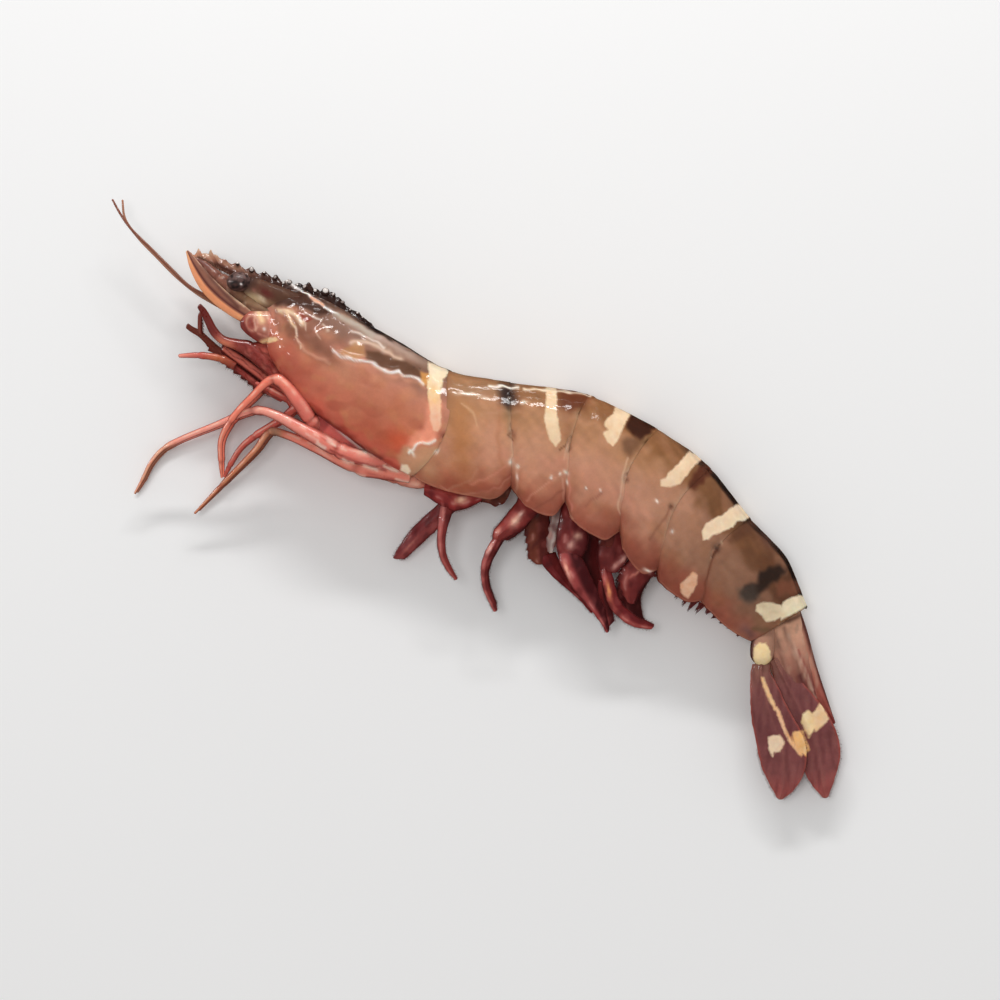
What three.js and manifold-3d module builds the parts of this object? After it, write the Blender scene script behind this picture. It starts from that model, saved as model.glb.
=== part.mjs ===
// Raw tiger prawn: whole, uncooked, in its shell, lying on its right side with its left side up.
//
// Frame: millimetres, +Z up, the surface that it lies on at z = 0. The head points to -X, the tail to +X,
// the back to +Y and the legs to -Y, so the plane that halves the animal lies flat at about z = 10.
// Every piece of the shell is a solid of its own, and neighbours stand GAP apart.

import * as THREE from 'three';
import { mergeVertices } from 'three/addons/utils/BufferGeometryUtils.js';
import Module from 'manifold-3d';

const wasm = await Module();
wasm.setup();

// ---------------------------------------------------------------- driving dimensions, mm and degrees

const GAP = 0.35;
const WELD = 1e-4; // points closer than this are one
const LIP = 0.3; // how far the rear edge of each shell ring stands proud
const PLEURON_DROPS = [1.4, 2.2, 2.2, 2.0, 1.4, 0.5]; // how far each ring's side flap hangs below its ends
const PLEURON_POWER = 0.6; // below 1 makes the flaps blunt

// The trunk at its stations: back line x, y; lower edge of shell x, y; half width; height of middle plane.
// Stations 0 to 5 are the carapace, and each seam between rings of the abdomen is at a station after that.
const TRUNK = [
  [-44.6, 45.2, -45.4, 34.4, 4.8, 10.2],
  [-41.2, 45.4, -44.9, 31.8, 6.6, 10.2],
  [-34.7, 44.0, -42.2, 27.4, 8.7, 10.1],
  [-28.3, 40.8, -38.0, 21.4, 10.0, 10.0],
  [-16.4, 33.9, -28.3, 13.9, 10.6, 9.9],
  [-5.9, 27.9, -14.3, 5.3, 10.4, 9.8],
  [6.8, 25.3, 8.5, 0.1, 10.3, 9.7],
  [23.3, 22.7, 19.2, -2.5, 10.3, 9.65],
  [38.4, 15.4, 30.4, -8.7, 10.0, 9.35],
  [49.8, 6.8, 38.4, -16.2, 9.2, 8.7],
  [58.4, -4.0, 48.1, -22.3, 7.8, 7.8],
  [66.3, -12.4, 54.1, -27.0, 6.6, 7.2],
  [71.1, -23.3, 59.2, -30.6, 5.4, 6.6],
];
const LAST = TRUNK.length - 1;
const CARAPACE_END = 5;
const RINGS = [[5, 6], [6, 7], [7, 8], [8, 9], [9, 10], [10, 12]]; // first and last station of each ring
const SEAM_BOW = { 5: 3.0, 6: -0.6, 7: -2.0, 8: -3.2, 9: -3.4, 10: -3.2 }; // how far back it bends midway

// The cross-section, as an angle round from the back: the shell reaches to LOWER_EDGE, then comes the belly.
const LOWER_EDGE = THREE.MathUtils.degToRad(150);
const SHOULDER = 1.2; // above 1 puts the widest level near mid-height
const BACK_POWER = 0.85; // below 1 rounds the back, above 1 pinches it
const FLANK_POWER = 0.75;
const CARAPACE_BACK_POWER = 1.1;
const BELLY_DEPTH = 0.74; // how far down the belly lies, as a share of the half depth
const TRUNK_SIDES = 24;
const CARAPACE_ROWS = 15;
const RING_ROWS = 5; // along a ring of one station, and ROWS_PER_STATION more for each further one
const ROWS_PER_STATION = 3;

// The rostrum and its crest: the line that the teeth stand on, back from the tip, and the foot, forwards.
const CREST = [[-61.4, 52.9], [-56.4, 51.9], [-51.3, 50.0], [-46.1, 48.2], [-41.2, 46.5], [-34.7, 44.9],
  [-28.3, 41.6], [-22.6, 37.9]];
const CREST_FOOT = [[-21.4, 36.0], [-28.3, 38.6], [-34.7, 42.0], [-41.2, 43.6], [-44.8, 44.2], [-48.7, 46.4],
  [-53.4, 48.5], [-57.4, 50.3]];
const CREST_TEETH = 10;
const TOOTH_HEIGHT = 1.1;
const TOOTH_LEAN = 0.35; // share of a tooth's length between its tip and its front foot
const CREST_THICK = { tip: 0.9, rear: 2.2 };

// Every limb is a list of stations: x, y, z, half width, and half thickness where that isn't the half width.
const LIMB_ROWS = 2; // from one station to the next
const LEG_SIDES = 8;
const FEELER_SIDES = 6;
const BLADE_SIDES = 10;

// Walking legs 1 to 5, as x, y, z of the left leg, z of the right leg under it, half width.
const LEGS = [
  [[-35.4, 18.0, 12.6, 7.4, 1.0], [-40.1, 21.2, 12.2, 7.2, 0.8], [-44.2, 23.4, 12.5, 6.8, 0.75],
    [-47.6, 25.2, 12.6, 6.4, 0.4]],
  [[-33.8, 15.4, 13.2, 6.8, 0.9], [-35.6, 17.2, 16.2, 4.0, 0.95], [-37.9, 20.7, 17.5, 2.2, 0.95],
    [-43.1, 26.6, 17.4, 2.4, 0.9], [-48.7, 21.4, 16.5, 3.4, 0.8], [-52.6, 17.1, 15.4, 3.9, 0.7],
    [-54.9, 12.8, 13.6, 3.7, 0.6], [-55.1, 8.5, 12.0, 3.8, 0.5], [-54.9, 4.6, 10.4, 4.4, 0.25]],
  [[-27.2, 11.8, 13.2, 6.6, 1.0], [-32.6, 17.1, 14.4, 5.6, 0.9], [-37.0, 20.4, 14.8, 5.0, 0.9],
    [-42.2, 17.1, 12.1, 5.2, 0.85], [-47.6, 13.9, 9.6, 5.0, 0.7], [-50.8, 11.3, 8.6, 4.6, 0.6],
    [-53.4, 7.4, 7.2, 4.0, 0.5], [-54.7, 4.8, 6.0, 3.4, 0.25]],
  [[-19.7, 8.6, 13.6, 6.4, 1.0], [-24.4, 9.0, 15.9, 4.0, 0.95], [-29.3, 10.6, 16.6, 3.3, 0.95],
    [-35.8, 14.2, 16.7, 2.6, 0.95], [-43.3, 18.2, 15.7, 2.1, 0.9], [-47.4, 19.2, 14.7, 2.0, 0.85],
    [-56.2, 16.0, 12.2, 1.6, 0.7], [-67.0, 11.3, 9.0, 1.2, 0.6], [-70.2, 8.1, 7.6, 1.0, 0.55],
    [-72.3, 4.2, 6.2, 0.8, 0.45], [-74.1, 1.2, 5.0, 0.6, 0.25]],
  [[-14.3, 5.2, 12.8, 7.0, 1.0], [-25.0, 6.9, 13.8, 5.9, 0.95], [-33.6, 10.8, 13.8, 5.4, 0.95],
    [-41.2, 14.0, 13.4, 3.8, 0.9], [-44.2, 14.6, 13.1, 3.0, 0.85], [-47.6, 10.6, 11.4, 2.4, 0.75],
    [-54.7, 3.5, 8.0, 1.4, 0.55], [-61.2, -3.1, 4.6, 0.7, 0.25]],
];
const RIGHT_LEG_SHARE = 0.9; // the right legs are folded a little shorter

const STERNUM = [[-38.4, 20.6, 10, 1.4, 2.6], [-32.0, 14.6, 10, 2.2, 3.4], [-24.0, 9.0, 10, 2.5, 3.6],
  [-16.5, 5.4, 9.9, 2.2, 3.4], [-10.2, 3.0, 9.8, 1.0, 2.2]];

// Parts of the head, left side. The right side is mirrored in the middle plane, unless it has its own.
const HEAD_MIDDLE = 10.2;
const EYE = { centre: [-50.8, 46.6, 15.7], radii: [2.7, 2.1, 2.0], segments: [14, 9] };
const EYE_STALK = [[-43.8, 43.4, 14.0, 0.9], [-48.0, 45.2, 14.9, 0.9], [-50.2, 46.3, 15.5, 1.2]];
const ANTENNULE = [[-43.8, 40.8, 11.9, 1.3], [-49.8, 43.4, 11.9, 1.5], [-55.0, 47.0, 11.8, 1.5],
  [-59.0, 50.6, 11.8, 0.9], [-60.8, 52.0, 11.8, 0.35]];
const ANTENNA_BASE = [[-43.2, 37.4, 13.2, 2.3], [-46.0, 37.7, 14.0, 2.2], [-48.2, 38.2, 14.5, 2.0],
  [-49.8, 38.9, 14.7, 1.5]];
const SCALE = [[-50.6, 39.8, 15.0, 1.2, 0.5], [-54.2, 42.6, 15.0, 1.9, 0.4], [-57.6, 46.2, 14.8, 2.0, 0.35],
  [-60.4, 50.2, 14.4, 1.3, 0.3], [-62.2, 53.5, 14.0, 0.3, 0.25]];
const FLAGELLUM_LEFT = [[-50.4, 38.2, 13.0, 0.5], [-57.3, 42.5, 13.3, 0.4], [-61.6, 45.7, 13.0, 0.38],
  [-65.9, 49.8, 12.4, 0.36], [-70.2, 54.1, 11.6, 0.33], [-74.5, 58.4, 10.8, 0.3], [-76.8, 61.6, 10.2, 0.27],
  [-78.6, 64.8, 9.6, 0.22]];
const FLAGELLUM_RIGHT = [[-50.8, 37.9, 6.3, 0.45], [-56.0, 40.8, 6.7, 0.4], [-60.5, 44.2, 7.0, 0.38],
  [-64.8, 48.1, 7.1, 0.36], [-69.1, 52.4, 7.2, 0.33], [-73.4, 56.9, 7.4, 0.3], [-76.0, 60.8, 7.7, 0.27],
  [-76.5, 64.8, 8.0, 0.22]];

const MOUTHPARTS = [[-38.6, 22.6, 10, 2.0, 1.2], [-43.4, 25.6, 10, 3.0, 1.4], [-49.4, 29.0, 10, 2.8, 1.3],
  [-54.2, 32.2, 10, 1.2, 0.9]];
const MAXILLIPED_LEFT = [[-38.9, 23.2, 12.9, 1.2], [-43.3, 27.3, 13.5, 1.6], [-49.8, 31.9, 13.4, 1.4],
  [-54.4, 34.2, 13.2, 1.1], [-56.9, 35.9, 13.2, 0.7], [-58.4, 38.9, 13.2, 0.55], [-59.4, 41.2, 13.2, 0.35]];
const MAXILLIPED_RIGHT = [[-38.9, 23.2, 7.1, 1.2], [-43.3, 26.8, 6.6, 1.5], [-49.8, 30.6, 6.8, 1.3],
  [-56.2, 31.9, 7.6, 0.9], [-58.6, 34.0, 8.0, 0.6], [-60.2, 36.0, 8.2, 0.5], [-62.7, 37.5, 8.4, 0.35]];
const PALP = [[-52.0, 28.6, 12.6, 0.9], [-54.7, 30.2, 12.8, 0.85], [-59.4, 31.0, 12.8, 0.7],
  [-64.2, 30.9, 12.6, 0.4]];

// Swimming legs 1 to 5, each as its limbs, which are joined: a thick base that goes over into a flat branch,
// or the base alone and one or two branches.
const PLEOPODS = [
  {
    left: [[[-3.2, 3.4, 12.6, 2.0], [-4.6, -0.8, 12.8, 1.9]],
      [[-5.9, 3.4, 12.8, 1.8], [-6.7, -1.2, 13.0, 1.3], [-8.0, -6.6, 12.2, 1.0], [-7.8, -10.6, 11.2, 0.85],
        [-6.6, -14.3, 10.0, 0.7], [-4.2, -17.3, 9.0, 0.3]]],
    right: [[[-8.4, 4.2, 6.5, 2.1], [-8.0, -0.2, 6.4, 1.9], [-11.0, -4.8, 5.6, 1.9, 0.7],
      [-15.0, -9.4, 4.6, 1.6, 0.5], [-18.3, -12.7, 4.0, 0.5, 0.35]]],
  },
  {
    left: [[[9.6, 1.2, 13.2, 2.0], [6.6, -4.2, 13.2, 2.2], [3.6, -7.8, 12.6, 1.3], [1.6, -13.0, 11.4, 1.1],
      [1.6, -18.4, 10.0, 0.95], [3.8, -24.4, 8.4, 0.35]]],
    right: [[[9.8, 1.2, 6.2, 1.9], [6.8, -4.2, 6.0, 1.9], [3.7, -7.8, 5.2, 1.1], [1.7, -13.0, 4.0, 0.9],
      [1.7, -18.0, 2.8, 0.8], [3.6, -23.0, 1.6, 0.3]]],
  },
  {
    left: [[[20.5, -0.8, 12.8, 2.1], [20.6, -9.4, 13.2, 2.1]],
      [[20.2, -8.6, 13.2, 1.7, 1.2], [19.8, -15.6, 12.4, 2.3, 0.8], [22.8, -21.8, 10.8, 2.8, 0.6],
        [27.9, -28.4, 8.6, 0.5, 0.35]],
      [[21.4, -8.6, 12.8, 1.2], [24.4, -14.0, 11.6, 1.4, 0.7], [26.0, -19.4, 9.6, 0.4, 0.35]]],
    right: [[[14.9, -0.8, 6.2, 1.9], [13.9, -7.4, 6.0, 2.2, 1.3], [14.4, -12.6, 5.0, 2.1, 0.8],
      [18.2, -17.4, 3.8, 1.7, 0.6], [21.8, -21.4, 2.8, 0.5, 0.4]]],
  },
  {
    left: [[[29.8, -7.2, 12.2, 1.9], [30.7, -14.2, 12.4, 1.9]],
      [[30.6, -13.6, 12.4, 1.4], [28.9, -18.8, 11.2, 1.4, 1.0], [30.2, -24.0, 9.8, 1.5, 0.8],
        [34.0, -26.6, 8.6, 1.0, 0.6], [38.4, -27.3, 7.6, 0.4, 0.35]]],
    right: [[[26.4, -5.6, 5.8, 1.9], [25.6, -14.1, 5.4, 2.3, 0.9], [26.6, -20.5, 4.4, 2.4, 0.6],
      [29.2, -26.6, 3.2, 0.9, 0.4]]],
  },
  {
    left: [[[37.4, -12.6, 11.2, 1.6], [35.8, -16.2, 11.4, 1.4], [33.6, -19.2, 10.6, 1.1, 0.8],
      [34.2, -22.6, 9.4, 0.35, 0.3]]],
    right: [[[36.8, -12.6, 5.2, 1.6], [34.0, -18.0, 4.8, 1.9, 0.8], [34.8, -22.6, 3.8, 1.6, 0.5],
      [36.0, -25.8, 3.2, 0.5, 0.35]]],
  },
];

// The tail fan: the telson in the middle plane, and on each side a base with an inner and an outer blade.
const TELSON = [[65.8, -22.2, 6.7, 3.3, 2.1], [68.6, -29.8, 6.4, 3.2, 1.9], [71.4, -36.6, 5.9, 2.3, 1.4],
  [74.6, -43.4, 5.4, 1.4, 0.9], [77.5, -48.6, 5.1, 0.3, 0.3]];
const FAN_LEFT = {
  base: [[62.0, -28.6, 9.0, 2.4], [61.6, -32.4, 9.4, 2.6], [61.3, -35.8, 9.3, 2.1]],
  outer: [[61.2, -37.6, 9.3, 1.7, 0.9], [62.0, -41.0, 9.2, 3.0, 0.6], [63.4, -46.6, 8.9, 4.2, 0.5],
    [65.8, -53.4, 8.1, 5.2, 0.45], [66.4, -58.4, 7.3, 4.6, 0.4], [66.1, -62.2, 6.6, 2.7, 0.35],
    [65.5, -64.9, 6.2, 0.5, 0.3]],
  inner: [[65.0, -36.0, 8.0, 1.3, 0.7], [67.6, -41.0, 7.5, 3.2, 0.5], [71.8, -49.2, 6.7, 5.0, 0.45],
    [74.0, -54.9, 6.1, 4.8, 0.4], [74.8, -60.4, 5.5, 2.9, 0.35], [75.6, -64.7, 5.0, 0.5, 0.3]],
};
const FAN_RIGHT = {
  base: [[62.2, -28.6, 3.9, 2.2], [61.8, -32.4, 3.6, 2.4], [61.6, -35.8, 3.2, 1.9]],
  outer: [[61.6, -37.6, 2.9, 1.6, 0.8], [62.6, -41.0, 2.4, 2.8, 0.6], [64.2, -46.6, 1.6, 3.9, 0.5],
    [66.4, -53.0, 0.8, 4.8, 0.45], [66.8, -57.8, 0.4, 4.2, 0.4], [66.6, -61.2, 0.3, 2.4, 0.35],
    [66.2, -63.6, 0.3, 0.5, 0.3]],
  inner: [[65.2, -36.0, 4.0, 1.2, 0.7], [67.8, -41.0, 3.7, 3.0, 0.5], [71.8, -48.8, 3.1, 4.6, 0.45],
    [73.8, -54.2, 2.5, 4.4, 0.4], [74.6, -59.4, 2.0, 2.7, 0.35], [75.2, -63.4, 1.7, 0.5, 0.3]],
};

// ---------------------------------------------------------------- materials

const finish = (color, roughness) => new THREE.MeshStandardMaterial({ color, roughness, metalness: 0 });
const SHELL = finish(0xa9714f, 0.35);
const HEAD_SHELL = finish(0xb4654d, 0.35);
const FLESH = finish(0xd67165, 0.45);
const SWIMMERET = finish(0x7d3130, 0.45);
const TAIL = finish(0x764745, 0.4);
const EYE_BLACK = finish(0x2a1c1c, 0.15);

// ---------------------------------------------------------------- making closed solids

/** Gives the geometry one vertex for each point, and nothing but positions. */
function weld(geometry) {
  geometry.deleteAttribute('normal');
  geometry.deleteAttribute('uv');
  return mergeVertices(geometry, WELD);
}

/** The geometry's volume, which is negative where its faces point in. */
function signedVolume(geometry) {
  const [a, b, c] = [new THREE.Vector3(), new THREE.Vector3(), new THREE.Vector3()];
  const position = geometry.getAttribute('position');
  const index = geometry.getIndex().array;
  let volume = 0;
  for (let i = 0; i < index.length; i += 3) {
    a.fromBufferAttribute(position, index[i]);
    b.fromBufferAttribute(position, index[i + 1]);
    c.fromBufferAttribute(position, index[i + 2]);
    volume += a.dot(b.cross(c)) / 6;
  }
  return volume;
}

/** Carries each point of a closed cylinder to its place: place(along 0 to 1, angle round, radius 0 or 1). */
function mould(sides, rows, place) {
  const cylinder = new THREE.CylinderGeometry(1, 1, 1, sides, rows);
  const position = cylinder.getAttribute('position');
  for (let i = 0; i < position.count; i += 1) {
    const [x, y, z] = [position.getX(i), position.getY(i), position.getZ(i)];
    const point = place(y + 0.5, Math.atan2(x, z), Math.round(Math.hypot(x, z)));
    position.setXYZ(i, point.x, point.y, point.z);
  }
  const geometry = weld(cylinder);
  if (signedVolume(geometry) < 0) {
    geometry.getIndex().array.reverse();
  }
  return geometry;
}

/** A geometry as a solid that can be joined and cut. */
function toSolid(geometry) {
  return new wasm.Manifold(new wasm.Mesh({
    numProp: 3,
    vertProperties: new Float32Array(geometry.getAttribute('position').array),
    triVerts: new Uint32Array(geometry.getIndex().array),
  }));
}

/** The largest piece of a solid, as a geometry. */
function toGeometry(solid) {
  const [largest] = solid.decompose().sort((a, b) => b.volume() - a.volume());
  const mesh = largest.getMesh();
  const geometry = new THREE.BufferGeometry();
  geometry.setAttribute('position', new THREE.BufferAttribute(mesh.vertProperties, mesh.numProp));
  geometry.setIndex(new THREE.BufferAttribute(mesh.triVerts, 1));
  return geometry;
}

/** Reads a table of numbers at a place between its rows, smoothly. */
function smoothTable(rows) {
  const columns = rows[0].map((_, k) => new THREE.CatmullRomCurve3(
    rows.map((row, i) => new THREE.Vector3(i, row[k], 0)), false, 'catmullrom',
  ));
  return (place) => {
    const t = THREE.MathUtils.clamp(place / (rows.length - 1), 0, 1);
    return columns.map((column) => column.getPoint(t).y);
  };
}

// ---------------------------------------------------------------- the trunk

const trunkAt = smoothTable(TRUNK);

/** The middle of the trunk, its direction across from belly to back, and its half sizes, at a station. */
function section(station) {
  const [backX, backY, lowX, lowY, halfWidth, middle] = trunkAt(station);
  const across = new THREE.Vector3(backX - lowX, backY - lowY, 0);
  const halfDepth = across.length() / 2;
  across.normalize();
  const centre = new THREE.Vector3((backX + lowX) / 2, (backY + lowY) / 2, middle);
  return { centre, across, halfDepth, halfWidth };
}

/** Length of trunk for one step of station. */
function stationLength(station) {
  const from = Math.max(station - 0.5, 0);
  const to = Math.min(station + 0.5, LAST);
  return section(from).centre.distanceTo(section(to).centre) / (to - from);
}

/** Depth (1 at the back, -1 at the lower edge) and width (0 to 1) of the outline at an angle round. */
function outline(angle, station) {
  const turn = Math.abs(angle);
  const backPower = station < CARAPACE_END ? CARAPACE_BACK_POWER : BACK_POWER;
  const power = turn < Math.PI / 2 ? backPower : FLANK_POWER;
  if (turn <= LOWER_EDGE) {
    return { depth: Math.cos(Math.PI * (turn / LOWER_EDGE) ** SHOULDER), width: Math.sin(turn) ** power };
  }
  const inward = (turn - LOWER_EDGE) / (Math.PI - LOWER_EDGE);
  return {
    depth: THREE.MathUtils.lerp(-1, -BELLY_DEPTH, inward),
    width: Math.sin(LOWER_EDGE) ** FLANK_POWER * (1 - inward),
  };
}

/** A point on the trunk's skin, or grow outside it, none under lowest. The side flaps hang drop lower. */
function trunkPoint(station, angle, grow, drop, lowest) {
  const { centre, across, halfDepth, halfWidth } = section(station);
  const { depth, width } = outline(angle, station);
  const down = depth < 0 ? -depth * drop : 0;
  const point = centre.clone().addScaledVector(across, depth * (halfDepth + grow) - down);
  point.z += Math.sign(angle) * width * (halfWidth + grow);
  point.z = Math.max(point.z, lowest);
  return point;
}

/** Where the seam at a station runs, at an angle round: the seams between rings bend at mid-height. */
function seam(station, angle) {
  const { depth } = outline(angle, station);
  const height = Math.min((1 - depth) / 2, 1);
  const reach = Math.abs(angle) > LOWER_EDGE ? 0 : Math.sin(Math.PI * height);
  return station + ((SEAM_BOW[station] ?? 0) * reach) / stationLength(station);
}

/** How far the side flap of a ring hangs below its ends, at a place along the ring. */
const flapDrop = (ring, along) => PLEURON_DROPS[ring] * Math.sin(Math.PI * along) ** PLEURON_POWER;

/** The same, at a station of the trunk. */
function dropAt(station) {
  const ring = RINGS.findIndex(([first, last]) => station >= first && station <= last);
  if (ring < 0) {
    return 0;
  }
  const [first, last] = RINGS[ring];
  return flapDrop(ring, (station - first) / (last - first));
}

/** One closed length of the trunk between two stations, with half the gap taken off at each seam. */
function trunkLength(first, last, rows, grow, drop) {
  const halfGap = (station) => (station > 0 && station < LAST ? GAP / 2 / stationLength(station) : 0);
  return mould(TRUNK_SIDES, rows, (along, angle, radius) => {
    const from = seam(first, radius ? angle : Math.PI) + halfGap(first);
    const to = seam(last, radius ? angle : Math.PI) - halfGap(last);
    const station = THREE.MathUtils.lerp(from, to, along);
    return radius ? trunkPoint(station, angle, grow(along), drop(along), 0) : section(station).centre;
  });
}

const none = () => 0;

/** The whole trunk, swollen, which everything that adjoins it is cut with. */
const trunkCutter = toSolid(mould(TRUNK_SIDES, (ROWS_PER_STATION + 1) * LAST, (along, angle, radius) => {
  const swell = GAP + LIP;
  const reach = 2 * along - 1; // -1 at the front end, 1 at the rear end
  const station = along * LAST;
  const point = radius ? trunkPoint(station, angle, swell, dropAt(station), -GAP) : section(station).centre;
  const end = Math.abs(reach) === 1 ? Math.sign(reach) : 0;
  const { across } = section(station);
  return point.addScaledVector(new THREE.Vector3(across.y, -across.x, 0), end * GAP);
}));

// ---------------------------------------------------------------- limbs, blades and the crest

/** A closed limb through its stations, oval in section, and flat where it would go under the surface. */
function limb(stations, sides = LEG_SIDES) {
  const path = new THREE.CatmullRomCurve3(stations.map(([x, y, z]) => new THREE.Vector3(x, y, z)));
  const sizeAt = smoothTable(stations.map(([, , , half, thick]) => [half, thick ?? half]));
  const up = new THREE.Vector3(0, 0, 1);
  return mould(sides, LIMB_ROWS * (stations.length - 1), (along, angle, radius) => {
    const tangent = path.getTangent(along);
    const side = new THREE.Vector3().crossVectors(up, tangent).normalize();
    const top = new THREE.Vector3().crossVectors(tangent, side);
    const [half, thick] = sizeAt(along * (stations.length - 1));
    const point = path.getPoint(along)
      .addScaledVector(side, radius * half * Math.sin(angle))
      .addScaledVector(top, radius * thick * Math.cos(angle));
    point.z = Math.max(point.z, 0);
    return point;
  });
}

/** The same stations on the other side of the head's middle plane. */
const mirrored = (stations) => stations.map(([x, y, z, ...size]) => [x, y, 2 * HEAD_MIDDLE - z, ...size]);

/** The rostrum with its toothed crest: a thin plate in the middle plane, thicker to the rear. */
function crest() {
  const line = new THREE.SplineCurve(CREST.map(([x, y]) => new THREE.Vector2(x, y)));
  const shape = new THREE.Shape();
  shape.moveTo(...CREST[0]);
  for (let tooth = 0; tooth < CREST_TEETH; tooth += 1) {
    const tip = line.getPointAt((tooth + TOOTH_LEAN) / CREST_TEETH);
    const foot = line.getPointAt((tooth + 1) / CREST_TEETH);
    shape.lineTo(tip.x, tip.y + TOOTH_HEIGHT);
    shape.lineTo(foot.x, foot.y);
  }
  CREST_FOOT.forEach(([x, y]) => shape.lineTo(x, y));
  const plate = weld(new THREE.ExtrudeGeometry(shape, { depth: 1, bevelEnabled: false }));
  const position = plate.getAttribute('position');
  const [frontX, rearX] = [CREST[0][0], CREST.at(-1)[0]];
  for (let i = 0; i < position.count; i += 1) {
    const rearward = (position.getX(i) - frontX) / (rearX - frontX);
    const thick = THREE.MathUtils.lerp(CREST_THICK.tip, CREST_THICK.rear, rearward);
    position.setZ(i, HEAD_MIDDLE + (position.getZ(i) - 0.5) * thick);
  }
  return plate;
}

/** An eyeball on its stalk. */
function eye() {
  const ball = new THREE.SphereGeometry(1, ...EYE.segments);
  ball.scale(...EYE.radii);
  ball.translate(...EYE.centre);
  return toSolid(weld(ball)).add(toSolid(limb(EYE_STALK)));
}

// ---------------------------------------------------------------- the prawn

const prawn = new THREE.Group();

/** Adds a named piece, made of a geometry or a solid. */
function add(name, piece, material) {
  const geometry = piece.isBufferGeometry ? piece : toGeometry(piece);
  const mesh = new THREE.Mesh(geometry, material);
  mesh.name = name;
  prawn.add(mesh);
}

const cutByTrunk = (geometry) => toSolid(geometry).subtract(trunkCutter);

function addTrunk() {
  const carapace = toSolid(trunkLength(0, CARAPACE_END, CARAPACE_ROWS, none, none));
  add('carapace', carapace.add(toSolid(crest())), HEAD_SHELL);
  RINGS.forEach(([first, last], k) => {
    const lobe = (along) => flapDrop(k, along);
    const lip = (along) => LIP * (2 * along - 1);
    const rows = RING_ROWS + ROWS_PER_STATION * (last - first - 1);
    add(`abdomen_${k + 1}`, trunkLength(first, last, rows, lip, lobe), SHELL);
  });
}

function addHead() {
  const mirror = new THREE.Matrix4().makeScale(1, 1, -1).setPosition(0, 0, 2 * HEAD_MIDDLE);
  const crestCutter = toSolid(crest());
  const leftEye = eye().subtract(trunkCutter).subtract(crestCutter);
  add('eye_left', leftEye, EYE_BLACK);
  add('eye_right', leftEye.transform(mirror.toArray()), EYE_BLACK);
  const pairs = { antennule: ANTENNULE, antenna_base: ANTENNA_BASE, antennal_scale: SCALE };
  Object.entries(pairs).forEach(([name, stations]) => {
    add(`${name}_left`, cutByTrunk(limb(stations)), FLESH);
    add(`${name}_right`, cutByTrunk(limb(mirrored(stations))), FLESH);
  });
  add('antenna_left', limb(FLAGELLUM_LEFT, FEELER_SIDES), FLESH);
  add('antenna_right', limb(FLAGELLUM_RIGHT, FEELER_SIDES), FLESH);
}

function addMouth() {
  add('mouthparts', cutByTrunk(limb(MOUTHPARTS)), SWIMMERET);
  add('maxilliped_left', cutByTrunk(limb(MAXILLIPED_LEFT)), SWIMMERET);
  add('maxilliped_right', cutByTrunk(limb(MAXILLIPED_RIGHT)), SWIMMERET);
  add('palp', cutByTrunk(limb(PALP)), FLESH);
}

function addLegs() {
  const swollen = STERNUM.map(([x, y, z, half, thick]) => [x, y, z, half + GAP, thick + GAP]);
  const sternumCutter = toSolid(limb(swollen));
  add('sternum', cutByTrunk(limb(STERNUM)), FLESH);
  const trim = (stations) => cutByTrunk(limb(stations)).subtract(sternumCutter);
  LEGS.forEach((stations, k) => {
    const left = stations.map(([x, y, zLeft, , half]) => [x, y, zLeft, half]);
    const right = stations.map(([x, y, , zRight, half]) => [x, y, zRight, half]);
    right[right.length - 1] = shorten(right);
    add(`leg_left_${k + 1}`, trim(left), FLESH);
    add(`leg_right_${k + 1}`, trim(right), FLESH);
  });
}

/** The last station of a right leg, moved back towards the one before it. */
function shorten(stations) {
  const [before, last] = stations.slice(-2);
  return last.map((value, k) => THREE.MathUtils.lerp(before[k], value, RIGHT_LEG_SHARE));
}

function addSwimmingLegs() {
  const joined = (branches) => branches.map((b) => toSolid(limb(b))).reduce((a, b) => a.add(b));
  PLEOPODS.forEach(({ left, right }, k) => {
    add(`pleopod_left_${k + 1}`, joined(left).subtract(trunkCutter), SWIMMERET);
    add(`pleopod_right_${k + 1}`, joined(right).subtract(trunkCutter), SWIMMERET);
  });
}

function addTailFan() {
  add('telson', cutByTrunk(limb(TELSON, BLADE_SIDES)), TAIL);
  Object.entries({ left: FAN_LEFT, right: FAN_RIGHT }).forEach(([side, fan]) => {
    add(`uropod_base_${side}`, cutByTrunk(limb(fan.base)), TAIL);
    add(`uropod_outer_${side}`, limb(fan.outer, BLADE_SIDES), TAIL);
    add(`uropod_inner_${side}`, limb(fan.inner, BLADE_SIDES), TAIL);
  });
}

addTrunk();
addHead();
addMouth();
addLegs();
addSwimmingLegs();
addTailFan();

export default prawn;
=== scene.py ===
import math

import bpy
import numpy as np
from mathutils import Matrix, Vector


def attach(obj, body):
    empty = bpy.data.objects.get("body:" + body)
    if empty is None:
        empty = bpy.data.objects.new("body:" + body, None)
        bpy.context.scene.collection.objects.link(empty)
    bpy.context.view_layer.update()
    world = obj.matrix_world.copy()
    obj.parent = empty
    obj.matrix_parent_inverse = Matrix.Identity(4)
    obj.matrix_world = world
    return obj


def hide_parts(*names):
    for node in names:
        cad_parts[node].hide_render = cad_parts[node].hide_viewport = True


# The raw tiger prawn's looks. It lies on its right side: head to -X, tail to +X, back to +Y, left side up.
# Shapes are worked out in millimetres in the part's frame, and Shape.piece() turns them into metres.

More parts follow.
